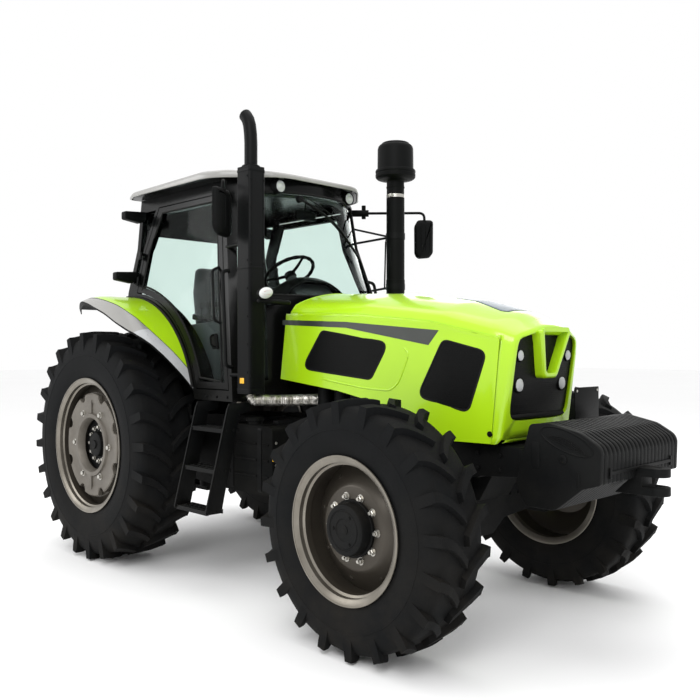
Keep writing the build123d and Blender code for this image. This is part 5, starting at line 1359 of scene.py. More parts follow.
def dress_screen():
    # Rubber channel round the windscreen, and the wiper with its blade.
    mesh = bmesh.new()
    corners = [(-0.545, 2.700), (0.545, 2.700), (0.580, 2.390), (0.640, 2.040), (0.625, 1.965),
               (-0.625, 1.965), (-0.640, 2.040), (-0.580, 2.390)]
    loop = rounded(corners, 0.045, 5)
    dense = []
    for a, b in zip(loop, loop[1:] + loop[:1]):
        count = max(1, int((b - a).length / 0.06))
        dense += [a.lerp(b, k / count) for k in range(count)]
    tube(mesh, [screen_at(p.x, p.y, -0.004) for p in dense + dense[:1]], 0.009, 8)
    piece("screen_channel", mesh, SEAL_RUBBER)
    mesh = bmesh.new()
    arm = [screen_at(-0.205 + 0.375 * t, 2.655 - 0.225 * t, 0.030 + 0.022 * math.sin(math.pi * t))
           for t in shares(10)]
    tube(mesh, arm, lambda t: 0.010 - 0.004 * t, 8)
    second = [p + Vector((0.004, 0.012, 0.030)) for p in arm[1:9]]
    tube(mesh, second, 0.0035, 8)
    lathe(mesh, [(0.0, 0.026), (0.030, 0.024), (0.036, 0.016), (0.036, 0.0)], screen_at(-0.205, 2.655,
            0.004), "X", 24)
    blade = [screen_at(-0.010 + 0.440 * t, 2.560 - 0.315 * t, 0.024) for t in shares(14)]
    tube(mesh, blade, lambda t: 0.0075 * min(1.0, 0.4 + 6 * t, 0.4 + 6 * (1 - t)), 8)
    tube(mesh, [p + (screen_at(0, 2.4) - screen_at(0, 2.4, 0.012)) for p in blade], 0.004, 6)
    piece("screen_wiper", mesh, BLACK_FRAME)
    # Inner sun blind rolled up under the roof.
    mesh = bmesh.new()
    blind = [screen_at(-0.46 + 0.92 * k / 12, 2.700, -0.075) for k in range(13)]
    tube(mesh, blind, 0.024, 12)
    piece("rolled_blind", mesh, TRIM_GREY)
    # Inner mirror.
    mesh = bmesh.new()
    tube(mesh, [at(1.30, -0.02, 2.70), at(1.285, -0.02, 2.60)], 0.007, 8)
    outline = rounded(((-0.11, 2.545), (0.09, 2.545), (0.08, 2.615), (-0.10, 2.615)), 0.02, 5)
    slab(mesh, outline, across_up, 1.265, 1.292, 0.008)
    piece("inner_mirror", mesh, BLACK_PLASTIC)


def dress_doors(side, sign):
    door = f"door_{side}"
    # Pull handle with its recess plate, and the long grab bar by the front edge.
    mesh = bmesh.new()
    spot = side_at(1.175, 1.640, sign, 0.002)
    outline = rounded(((1.145, 1.590), (1.215, 1.590), (1.200, 1.700), (1.135, 1.700)), 0.014, 4)
    slab(mesh, outline, along_up, spot.y - sign * 0.003, spot.y + sign * 0.010, 0.003)
    grip = rounded_path([at(1.185, spot.y + sign * 0.004, 1.605), at(1.183, spot.y + sign * 0.040, 1.615),
                         at(1.165, spot.y + sign * 0.038, 1.680), at(1.162, spot.y + sign * 0.002, 1.690)],
                        0.02)
    tube(mesh, grip, 0.008, 10)
    piece(f"door_handle_{side}", mesh, BLACK_PLASTIC, body=door)
    mesh = bmesh.new()
    bar = rounded_path([side_at(1.135, 2.160, sign, -0.004), side_at(1.130, 2.140, sign, 0.045),
                        side_at(1.205, 1.790, sign, 0.045), side_at(1.212, 1.770, sign, -0.004)], 0.03)
    tube(mesh, bar, 0.0105, 12)
    piece(f"door_grab_bar_{side}", mesh, BLACK_FRAME, body=door)
    # Rubber seal round the glass.
    mesh = bmesh.new()
    corners = [(0.150, 2.050), (0.150, 2.372), (0.292, 2.646), (1.005, 2.646), (1.052, 2.390),
               (1.170, 2.040), (1.268, 1.372), (0.995, 1.372)]
    path = [Vector(c) for c in corners]
    arch = [Vector((ARCH_X + 1.098 * math.cos(a), ARCH_Z + 1.098 * math.sin(a)))
            for a in [math.radians(21 + (79 - 21) * k / 14) for k in range(15)]]
    loop = path[:-1] + arch
    dense = []
    for a, b in zip(loop, loop[1:] + loop[:1]):
        count = max(1, int((b - a).length / 0.08))
        dense += [a.lerp(b, k / count) for k in range(count)]
    tube(mesh, [side_at(p.x, p.y, sign, -0.004) for p in dense + dense[:1]], 0.0075, 6)
    piece(f"door_glass_seal_{side}", mesh, SEAL_RUBBER, body=door)


def dress_cab_sides(side, sign):
    # Vertical handrail behind the exhaust or intake, on the front pillar.
    mesh = bmesh.new()
    rail = rounded_path([side_at(1.372, 1.470, sign, -0.003), side_at(1.372, 1.480, sign, 0.050),
                         side_at(1.262, 2.120, sign, 0.050), side_at(1.258, 2.130, sign, -0.003)], 0.04)
    tube(mesh, rail, 0.0125, 12)
    piece(f"pillar_handrail_{side}", mesh, BLACK_FRAME)
    # Bolts along the cab's sill.
    mesh = bmesh.new()
    for x in (1.10, 1.22, 1.34):
        bolt(mesh, side_at(x, 1.268, sign, 0.0), Vector((0, sign, 0.06)), 0.014, 0.007)
    piece(f"sill_bolts_{side}", mesh, BLACK_FRAME)
    # Roof lamps in the band under the roof; their lenses are half diffuse near-white, a painted reflection
    # of the reflector.
    for name, profile, finish, slot in (("bezel", [(-0.045, 0.050), (0.004, 0.050), (0.010, 0.047),
                                                   (0.010, 0.041), (-0.006, 0.040)], BLACK_PLASTIC,
                                         "black_plastic"), ("reflector", [(0.004, 0.041), (-0.012, 0.032),
            (-0.026, 0.014), (-0.027, 0.009), (-0.010, 0.009), (-0.009, 0.0)], MIRROR_FACE, "steel"),
            ("lens", [(0.006, 0.041), (0.011, 0.034), (0.0145, 0.018), (0.0155, 0.0)], LENS_WITH_PAINTED_REFLECTION,
             "lamp_lens")):
        mesh = bmesh.new()
        lathe(mesh, profile, at(1.383, sign * 0.338, 2.736), "X", 40)
        piece(f"roof_lamp_{side}_{name}", mesh, finish, "roof_lamps" if name == "bezel" else ())
    # Bosses on the rear pillars, with red and amber lenses to the rear.
    for tag, x, y, z, width, tall in (("low", 0.012, 0.775, 2.160, 0.190, 0.100),
                                      ("high", 0.012, 0.700, 2.640, 0.190, 0.100)):
        mesh = bmesh.new()
        outline = rounded(((-width / 2, tall / 2 - 0.006), (width / 2, tall / 2 - 0.018),
                           (width / 2, -tall / 2 + 0.020), (-width / 2 + 0.05, -tall / 2),
                           (-width / 2, -tall / 2 + 0.03)), 0.016, 5)
        slab(mesh, outline, lambda a, b, c: at(c, sign * (y + a), z + b), x - 0.028, x + 0.040, 0.010)
        tube(mesh, [at(x + 0.006, sign * (y - 0.09), z), at(x + 0.006, sign * (y - width / 2 + 0.02), z)],
             0.014, 10)
        piece(f"rear_lamp_{tag}_{side}_housing", mesh, BLACK_PLASTIC, "rear_lamps" if tag == "low" else ())
        for colour, finish, a0, a1 in (("red", RED_LENS, -0.080, 0.010), ("amber", AMBER_LENS, 0.018,
                0.082)):
            mesh = bmesh.new()
            pane = rounded(((a0, -tall * 0.30), (a1, -tall * 0.30), (a1, tall * 0.30),
                                                (a0, tall * 0.30)), 0.008, 4)
            slab(mesh, pane, lambda a, b, c: at(c, sign * (y + a), z + b), x - 0.026, x - 0.036, 0.003)
            piece(f"rear_lamp_{tag}_{side}_{colour}", mesh, finish)


def dress_mirror(side, sign):
    x, y = (1.550, 1.030) if sign > 0 else (1.470, -0.890)
    turn = math.radians(-14 * sign)
    outline = rounded([Vector((sign * a, b)) for a, b in ((0.088, 0.160), (-0.055, 0.150), (-0.090, 0.095),
                                                          (-0.088, -0.130), (-0.055, -0.162),
                                                          (0.050, -0.150), (0.086, -0.110))],
                      [0.03, 0.04, 0.06, 0.05, 0.04, 0.05, 0.05], 6)

    def on_head(a, b, c):
        return at(x + c * math.cos(turn) - a * math.sin(turn), y + c * math.sin(turn) + a * math.cos(turn),
                  2.480 + b)

    mesh = bmesh.new()
    rings = []
    for depth, by in ((-0.018, -0.004), (-0.016, 0.0), (-0.004, 0.0), (0.008, -0.006), (0.017, -0.018),
                      (0.022, -0.040)):
        rings.append([on_head(p.x, p.y, depth) for p in grown(outline, by)])
    skin(mesh, rings)
    for k in range(3):
        rib = [on_head(sign * (-0.045 + 0.045 * k), -0.100 + 0.20 * t, 0.0205 + 0.002
                       * math.sin(math.pi * t)) for t in [j / 8 for j in range(9)]]
        tube(mesh, rib, 0.004, 8)
    arm = rounded_path([at(1.085, sign * 0.592, 2.690), at(x, y, 2.690), at(x, y, 2.520)], 0.045)
    tube(mesh, arm, 0.0105, 12)
    lathe(mesh, [(-0.030, 0.016), (-0.028, 0.019), (0.028, 0.019), (0.030, 0.016)], at(x, y, 2.600), "Z", 20)
    # Swivel holder on the pillar.
    lead = (at(x, y, 2.690) - at(1.085, sign * 0.592, 2.690)).normalized()
    start = at(1.085, sign * 0.592, 2.690)
    tube(mesh, [start - lead * 0.02, start + lead * 0.19], 0.027, 16)
    tube(mesh, [start + lead * 0.150 - Vector((0, 0, 0.045)), start + lead * 0.150 + Vector((0, 0, 0.062))],
         0.017, 14)
    piece(f"mirror_{side}_head", mesh, BLACK_PLASTIC, "mirrors")
    mesh = bmesh.new()
    skin(mesh, [[on_head(p.x, p.y, -0.0186) for p in grown(outline, -0.010)],
                [on_head(p.x, p.y, -0.0196) for p in grown(outline, -0.012)]])
    piece(f"mirror_{side}_glass", mesh, MIRROR_FACE)


def dress_indicator(side, sign):
    centre = at(1.728, sign * 0.748, 1.950)
    for name, finish, slot, profile in (("body", BLACK_PLASTIC, "black_plastic",
                                         [(-0.030, 0.0), (-0.030, 0.034), (-0.018, 0.046), (0.004, 0.050),
                                          (0.008, 0.047), (0.008, 0.0)]), ("lens", WHITE_MARK, "lamp_lens",
            [(0.006, 0.046), (0.016, 0.041), (0.025, 0.028), (0.029, 0.012), (0.0295, 0.0)]),):
        mesh = bmesh.new()
        lathe(mesh, profile, centre, "X", 36)
        for vert in mesh.verts:
            offset = vert.co - centre
            vert.co = centre + Vector((offset.x, offset.y * 1.22, offset.z * 0.80 - 0.16 * sign * offset.y))
        piece(f"indicator_{side}_{name}", mesh, finish, "indicator_lamps" if name == "body" else ())
    mesh = bmesh.new()
    rings = []
    for t in shares(12):
        a = math.pi * (0.15 + 1.5 * t)
        y, z = 0.030 * math.cos(a) * 1.2, 0.013 * math.sin(a)
        lift = 0.0285 - 6.0 * (y ** 2 + z ** 2)
        rings.append([centre + Vector((lift + d, y + e, z - 0.16 * sign * y)) for d, e in
                      ((-0.002, -0.003), (0.0025, -0.002), (0.0025, 0.002), (-0.002, 0.003))])
    skin(mesh, rings)
    piece(f"indicator_{side}_reflex", mesh, RED_LENS)
    # Flat arm from the cab's corner, widening to its foot by the bonnet.
    mesh = bmesh.new()
    outline = rounded(((1.712, 0.790), (1.738, 0.700), (1.705, 0.520), (1.640, 0.455),
                                           (1.560, 0.480), (1.600, 0.600), (1.680, 0.780)), 0.02, 5)
    outline = [Vector((p.x, sign * p.y)) for p in outline]
    slab(mesh, outline, at, 1.888, 1.912, 0.009)
    tube(mesh, [at(1.40, sign * 0.47, 1.895), at(1.60, sign * 0.55, 1.900)], 0.014, 12)
    piece(f"indicator_{side}_arm", mesh, BLACK_PLASTIC)


dress_screen()
both_sides(dress_doors)
both_sides(dress_cab_sides)
both_sides(dress_mirror)
both_sides(dress_indicator)


# ---- Exhaust and intake ------------------------------------------------------------------
def dress_exhaust():
    x, y = 1.545, -0.720
    mesh = bmesh.new()
    path = [at(x, y, 2.60), at(x, y, 2.94), at(x - 0.004, y, 3.00), at(x - 0.014, y, 3.06),
            at(x - 0.030, y, 3.100), at(x - 0.052, y, 3.128), at(x - 0.062, y, 3.136)]
    tube(mesh, path, 0.043, 28, caps=False)
    tube(mesh, path, 0.039, 28, caps=False)
    lathe(mesh, [(2.780, 0.060), (2.790, 0.060), (2.796, 0.050), (2.796, 0.044)], at(x, y, 0), "Z", 32)
    piece("exhaust_tail_pipe", mesh, BLACK_FRAME, "exhaust_pipe", smooth=50.0)
    # Corrugated pipe from the engine to the silencer's foot.
    mesh = bmesh.new()
    bend = rounded_path([at(1.745, -0.252, 1.255), at(1.745, -0.400, 1.255), at(1.690, -0.580, 1.255),
                         at(1.560, -0.715, 1.258), at(x, y, 1.300)], 0.09, 8)
    fine = []
    for a, b in zip(bend, bend[1:]):
        count = max(1, int((b - a).length / 0.0035))
        fine += [a.lerp(b, k / count) for k in range(count)]
    tube(mesh, fine, lambda t: 0.036 + 0.003 * math.sin(t * 330), 20)
    piece("exhaust_flexible_pipe", mesh, BRIGHT_STEEL, smooth=60.0)
    # Shroud: rolled seams, collars and small bolts.
    mesh = bmesh.new()
    for z in (1.325, 2.120, 2.755):
        outline = rounded(((-0.0715, -0.0665), (0.0715, -0.0665), (0.0715, 0.0665),
                                               (-0.0715, 0.0665)), 0.017, 5)
        slab(mesh, outline, lambda a, b, c: at(x + a, y + b, c), z - 0.008, z + 0.008, 0.001)
    for sy in (-0.045, 0.045):
        tube(mesh, [at(x + 0.0700, y + sy, 1.35), at(x + 0.0700, y + sy, 2.74)], 0.0022, 6)
    piece("exhaust_shroud_seams", mesh, BLACK_FRAME)
    mesh = bmesh.new()
    for k in range(8):
        z = 1.42 + 0.182 * k
        for sy in (-0.054, 0.054):
            bolt(mesh, at(x + 0.0698, y + sy, z), Vector((1, 0, 0)), 0.010, 0.004)
        bolt(mesh, at(x + 0.045, y - 0.0648, z + 0.02), Vector((0, -1, 0)), 0.010, 0.004)
    piece("exhaust_shroud_bolts", mesh, BLACK_CAST)


def dress_intake():
    centre = at(1.680, 0.540, 0)
    mesh = bmesh.new()
    lathe(mesh, [(1.330, 0.0), (1.330, 0.068), (2.075, 0.068), (2.077, 0.0705), (2.112, 0.0705),
                 (2.114, 0.068), (2.724, 0.068), (2.724, 0.063), (2.756, 0.063), (2.758, 0.066),
                 (2.800, 0.066), (2.803, 0.069), (2.812, 0.069), (2.815, 0.066), (2.850, 0.066),
                 (2.856, 0.072), (2.862, 0.104), (2.868, 0.134), (2.880, 0.148), (2.890, 0.1505),
                 (2.904, 0.1505), (2.908, 0.147), (2.914, 0.147), (2.918, 0.1505), (2.930, 0.1505),
                 (2.938, 0.146), (2.940, 0.137), (2.952, 0.1355), (3.092, 0.1340), (3.112, 0.129),
                 (3.124, 0.118), (3.128, 0.106), (3.136, 0.104), (3.141, 0.098), (3.144, 0.060),
                 (3.145, 0.0)], centre, "Z", 72)
    # Ribs of the pre-cleaner's inlet under its rim.
    for a in turns(28):
        run = [centre + Vector((r * math.cos(a), r * math.sin(a), z)) for r,
               z in ((0.080, 2.859), (0.110, 2.866), (0.140, 2.874))]
        tube(mesh, run, 0.0025, 6)
    elbow = rounded_path([at(1.680, 0.252, 1.290), at(1.680, 0.540, 1.290), at(1.680, 0.540, 1.420)], 0.10,
                         8)
    tube(mesh, elbow, 0.054, 24)
    piece("intake_tube_and_bowl", mesh, BLACK_PLASTIC, "intake_stack", smooth=35.0)
    mesh = bmesh.new()
    lathe(mesh, [(2.728, 0.0655), (2.728, 0.0685), (2.752, 0.0685), (2.752, 0.0655)], centre, "Z", 64,
          closed=True)
    block(mesh, (centre.x + 0.010, centre.x + 0.030), (0.540 - 0.082, 0.540 - 0.066), (2.730, 2.750))
    tube(mesh, [centre + Vector((0.000, -0.076, 2.740)), centre + Vector((0.046, -0.076, 2.740))], 0.004, 8)
    piece("intake_clamp", mesh, BRIGHT_STEEL)
    # Brackets to the cab's pillar.
    mesh = bmesh.new()
    for z, half, px in ((2.440, 0.622, 1.140), (2.060, 0.700, 1.262)):
        tube(mesh, [at(1.625, 0.545, z), at(px + 0.03, half - 0.005, z)], 0.009, 10)
        lathe(mesh, [(z - 0.022, 0.0700), (z - 0.022, 0.0725), (z + 0.022, 0.0725), (z + 0.022, 0.0700)],
              centre, "Z", 56, closed=True)
    tube(mesh, [at(1.625, 0.548, 2.440), at(1.150, 0.612, 2.560)], 0.008, 10)
    tube(mesh, rounded_path([at(1.600, 0.556, 2.440), at(1.560, 0.562, 2.430), at(1.540, 0.570, 2.060)],
                            0.02), 0.006, 8)
    piece("intake_brackets", mesh, BLACK_FRAME)


dress_exhaust()
dress_intake()


# ---- Steps, tank and marks ---------------------------------------------------------------
def pierced_cell(mesh, centre, size, hole, thick):
    """Square of tread with a round grip hole and its raised collar."""
    square, circle = [], []
    for a in turns(16, 0.5):
        c, s = math.cos(a), math.sin(a)
        reach = size / 2 / max(abs(c), abs(s))
        square.append((reach * c, reach * s))
        circle.append((hole * c, hole * s))
    rings = [[centre + Vector((a, b, -thick)) for a, b in circle], [centre + Vector((a, b, -thick)) for a,
            b in square], [centre + Vector((a, b, 0)) for a, b in square],
            [centre + Vector((a * 1.28, b * 1.28, 0)) for a, b in circle],
            [centre + Vector((a * 1.08, b * 1.08, 0.004)) for a, b in circle],
            [centre + Vector((a, b, 0.003)) for a, b in circle], [centre + Vector((a, b, -thick)) for a,
            b in circle]]
    skin(mesh, rings, caps=False)


TREAD_Z, STEP_RISE = 0.562, 0.257


def dress_steps(side, sign):
    foot_out, top_out, foot, top, depth = 1.048, 0.880, 0.540, 1.2395, 0.120
    mesh = bmesh.new()
    for x in (1.142, 1.498):
        plate = rounded(((0.700, top), (top_out - 0.012, top), (top_out, top - 0.03),
                         (foot_out, foot + 0.01), (foot_out - 0.008, foot), (foot_out - depth, foot),
                         (top_out - depth + 0.02, top - 0.070), (0.700, top - 0.060)), 0.012, 4)
        slab(mesh, plate, lambda a, b, c: at(c, sign * a, b), x, x + 0.010, 0.002)
        flange = rounded(((x - 0.002, 0.0), (x + 0.012, 0.0), (x + 0.012, 0.024), (x - 0.002, 0.024)),
                         0.004, 3)
        skin(mesh, [[at(p.x, sign * (edge - p.y * 0.5 + 0.002), z) for p in flange]
                    for z, edge in ((top - 0.03, top_out), (foot + 0.012, foot_out))])
    piece(f"step_side_plates_{side}", mesh, BLACK_FRAME, "access_steps", smooth=40.0)
    mesh = bmesh.new()
    for row in range(3):
        z = TREAD_Z + STEP_RISE * row
        edge = foot_out - (z - foot) * (foot_out - top_out) / (top - foot)
        cell = 0.0505
        for i in range(6):
            for j in range(2):
                pierced_cell(mesh, at(1.325 + (i - 2.5) * cell, sign * (edge - 0.022 - (j + 0.5) * cell),
                                      z), cell, 0.0165, 0.005)
        for y0, y1 in ((edge - 0.006, edge - 0.022), (edge - 0.022 - 2 * cell, edge - 0.032 - 2 * cell)):
            ya, yb = sorted((sign * y0, sign * y1))
            block(mesh, span_x(1.150, 1.500), (ya, yb), (z - 0.026, z + 0.001))
        for xa, xb in ((1.150, 1.1735), (1.4765, 1.500)):
            ya, yb = sorted((sign * (edge - 0.022), sign * (edge - 0.022 - 2 * cell)))
            block(mesh, span_x(xa, xb), (ya, yb), (z - 0.005, z))
    piece(f"step_treads_{side}", mesh, BLACK_FRAME, smooth=35.0)
    mesh = bmesh.new()
    for x in (1.150, 1.508):
        for row in range(3):
            z = TREAD_Z - 0.011 + STEP_RISE * row
            edge = foot_out - (z - foot) * (foot_out - top_out) / (top - foot)
            for back in (0.035, 0.090):
                way = 1 if x > 1.3 else -1
                bolt(mesh, at(x if way > 0 else x - 0.008, sign * (edge - back), z), Vector((way, 0, 0)),
                     0.014, 0.007)
    piece(f"step_bolts_{side}", mesh, BLACK_CAST)


def dress_tanks(side, sign):
    # Straps round the tank or box, pressed ribs on its side, and a filler or lid.
    mesh = bmesh.new()
    for x in (1.300, 1.600):
        outline = rounded(((0.331, 0.6385), (0.6915, 0.6385), (0.6915, 1.0915), (0.331, 1.0915)),
                          0.040, 6)
        rings = [[at(x + dx, sign * p.x, p.y) for p in grown(outline, by)]
                 for dx, by in ((-0.020, 0.0), (-0.020, 0.003), (0.020, 0.003), (0.020, 0.0))]
        skin(mesh, rings, caps=False)
    piece(f"tank_straps_{side}", mesh, BLACK_FRAME)
    mesh = bmesh.new()
    for z in (0.760, 0.865, 0.970):
        for xa, xb in ((1.215, 1.270), (1.335, 1.565), (1.635, 1.690)):
            path = [at(xa, sign * 0.689, z), at(xb, sign * 0.689, z)]
            tube(mesh, path, 0.008, 8)
    piece(f"tank_ribs_{side}", mesh, BLACK_PLASTIC)
    mesh = bmesh.new()
    spot = at(1.450, sign * 0.610, 1.090)
    lathe(mesh, [(0.0, 0.052), (0.018, 0.050), (0.020, 0.060), (0.040, 0.060), (0.046, 0.052),
                 (0.046, 0.0)], spot, "Z", 24)
    piece(f"tank_cap_{side}", mesh, BLACK_PLASTIC, smooth=30.0)


def dress_marks():
    mesh = bmesh.new()
    outline = rounded(((1.512, 1.368), (1.556, 1.368), (1.556, 1.404), (1.512, 1.404)), 0.003, 3)
    slab(mesh, outline, along_up, -0.7848, -0.7862, 0.0004)
    outline = rounded(((-0.690, 0.868), (-0.640, 0.868), (-0.632, 0.922), (-0.690, 0.928)), 0.003, 3)
    slab(mesh, outline, across_up, 1.7300, 1.7315, 0.0004)
    piece("yellow_bare_marks", mesh, YELLOW_MARK)
    mesh = bmesh.new()
    for z in (0.840, 0.985):
        bolt(mesh, at(1.730, -0.660, z), Vector((1, 0, 0)), 0.014, 0.006)
    piece("tank_front_bolts", mesh, BRIGHT_STEEL)


both_sides(dress_steps)
both_sides(dress_tanks)
dress_marks()


# ---- Inside the cab ----------------------------------------------------------------------
def cushion(name, corners, place, low, high, seams):
    """Padded piece: an outline bulged over its depth, remeshed evenly and smoothed, with piped seams."""
    mesh = bmesh.new()
    outline = rounded(corners, 0.060, 6)
    rings = []
    for k in range(9):
        t = k / 8
        bulge = -0.030 * (1 - math.sin(math.pi * t) ** 0.5)
        rings.append([place(p.x, p.y, low + (high - low) * t) for p in grown(outline, bulge)])
    skin(mesh, rings)
    made = piece(name, mesh, SEAT_CLOTH, smooth=80.0)
    remesh = made.modifiers.new("even_cloth", "REMESH")
    remesh.mode = "VOXEL"
    remesh.voxel_size = 0.006
    remesh.use_smooth_shade = True
    smooth = made.modifiers.new("relaxed", "SMOOTH")
    smooth.factor = 0.5
    smooth.iterations = 12
    mesh = bmesh.new()
    for seam in seams:
        tube(mesh, rounded_path([place(*p) for p in seam], 0.02), 0.0035, 8)
    piece(f"{name}_piping", mesh, BLACK_PLASTIC)


def dress_seat():
    cushion("seat_cushion", [(0.285, -0.240), (0.780, -0.240), (0.780, 0.240), (0.285, 0.240)],
            lambda a, b, c: at(a, b, c + 0.03 * (a - 0.28)), 1.605, 1.700,
            [[(0.32, -0.13, 1.7005), (0.76, -0.13, 1.7005)], [(0.32, 0.13, 1.7005), (0.76, 0.13, 1.7005)]])
    def on_back(a, b, c):
        return at(0.250 - 0.135 * (b - 1.65) / 0.60 + c, a, b)
    cushion("seat_back", [(-0.225, 1.640), (0.225, 1.640), (0.205, 2.060), (0.150, 2.270), (-0.150, 2.270),
                          (-0.205, 2.060)], on_back, -0.085, 0.012,
            [[(-0.12, 1.68, 0.0125), (-0.12, 2.18, 0.0125)], [(0.12, 1.68, 0.0125), (0.12, 2.18, 0.0125)]])
    mesh = bmesh.new()
    # Bellows of the sprung seat base.
    rings = []
    for k in range(13):
        z = 1.302 + 0.026 * k
        half = 0.135 + (0.014 if k % 2 else 0.0)
        outline = rounded(((0.350, -half), (0.680, -half), (0.680, half), (0.350, half)), 0.03, 4)
        rings.append([at(p.x, p.y, z) for p in outline])
    skin(mesh, rings)
    piece("seat_bellows", mesh, SEAL_RUBBER, "operator_seat", smooth=30.0)
    mesh = bmesh.new()
    for y in (-0.275, 0.275):
        outline = rounded(((0.230, 1.830), (0.560, 1.800), (0.575, 1.840), (0.240, 1.880)), 0.018, 5)
        slab(mesh, outline, along_up, y - 0.030, y + 0.030, 0.012)
    piece("seat_arm_rests", mesh, BLACK_PLASTIC)
    mesh = bmesh.new()
    for side in (-1, 1):
        outline = rounded(((0.250, 1.330), (0.900, 1.330), (0.940, 1.700), (0.800, 1.790),
                                               (0.250, 1.760)), 0.05, 6)
        slab(mesh, outline, along_up, side * 0.400, side * 0.560, 0.020)
    piece("side_consoles", mesh, TRIM_GREY)
    mesh = bmesh.new()
    for x, y, lean in ((0.60, -0.47, 0.02), (0.68, -0.47, 0.03), (0.78, -0.47, 0.04), (0.62, 0.47, 0.02),
                       (0.74, 0.47, 0.03)):
        tube(mesh, [at(x, y, 1.76), at(x + lean, y, 1.90)], 0.006, 8)
        lathe(mesh, [(1.895, 0.006), (1.900, 0.015), (1.925, 0.020), (1.945, 0.016), (1.952, 0.0)],
              at(x + lean, y, 0), "Z", 16)
    piece("console_levers", mesh, BLACK_PLASTIC)


def dress_steering():
    lean = math.radians(35.0)
    centre, up = at(1.085, 0.0, 2.165), Vector((-math.sin(lean), 0, math.cos(lean)))
    right = Vector((0, 1, 0))
    fore = right.cross(up).normalized()
    mesh = bmesh.new()
    rings = []
    for a in turns(72):
        way = fore * math.cos(a) + right * math.sin(a)
        grip = 0.0135 + 0.0012 * math.cos(18 * a)
        rings.append([centre + way * (0.195 + grip * math.cos(b)) + up * grip * math.sin(b)
                      for b in [2 * math.pi * j / 12 for j in range(12)]])
    skin(mesh, rings + rings[:1], caps=False)
    for a in turns(3):
        way = fore * math.cos(a) + right * math.sin(a)
        tube(mesh, [centre + way * 0.030 - up * 0.018, centre + way * 0.110 - up * 0.014,
                    centre + way * 0.188], lambda t: 0.013 - 0.004 * t, 10)
    hub = [centre + up * h for h in (-0.035, -0.010, 0.000, 0.006)]
    tube(mesh, hub, lambda t: 0.045 - 0.018 * t ** 3, 28)
    tube(mesh, [centre - up * 0.15, centre - up * 0.03], 0.015, 14)
    piece("steering_wheel_rim", mesh, BLACK_PLASTIC, "steering_wheel", body="steering_wheel", smooth=50.0)
    # Instrument hood.
    mesh = bmesh.new()
    rings = []
    for k in range(13):
        x = 1.178 + 0.222 * k / 12
        high = 2.038 + 0.085 * math.sin(math.pi * (0.18 + 0.62 * k / 12))
        ring = []
        for j in range(17):
            y = -0.34 + 0.68 * j / 16
            ring.append(at(x, y, high - 0.16 * (abs(y) / 0.34) ** 2.6))
        rings.append(ring)
    skin(mesh, rings, closed=False)
    hood = piece("dashboard_hood", mesh, BLACK_PLASTIC, smooth=60.0)
    wall = hood.modifiers.new("sheet_thickness", "SOLIDIFY")
    wall.thickness = 0.012
    mesh = bmesh.new()
    for y, size in ((-0.075, 0.050), (0.075, 0.050), (0.0, 0.030)):
        spot = at(1.178, y, 2.010)
        lathe(mesh, [(0.010, size), (-0.004, size), (-0.006, size - 0.006), (0.000, size - 0.008),
                     (0.002, 0.0)], spot, "X", 28)
    piece("dashboard_dials", mesh, WHITE_MARK)
    # Pedals and floor mat.
    mesh = bmesh.new()
    for y in (-0.20, -0.10, 0.20):
        tube(mesh, [at(1.28, y, 1.62), at(1.16, y, 1.42)], 0.010, 8)
        block(mesh, span_x(1.125, 1.150), (y - 0.035, y + 0.035), (1.385, 1.455))
    piece("floor_pedals", mesh, BLACK_FRAME, bevel=0.004)
    mesh = bmesh.new()
    block(mesh, span_x(0.72, 1.17), (-0.36, 0.36), (1.3005, 1.309))
    for k in range(16):
        block(mesh, span_x(0.74, 1.15), (-0.345 + 0.0455 * k, -0.330 + 0.0455 * k), (1.309, 1.313))
    piece("floor_mat", mesh, SEAL_RUBBER, bevel=0.0015)


dress_seat()
dress_steering()


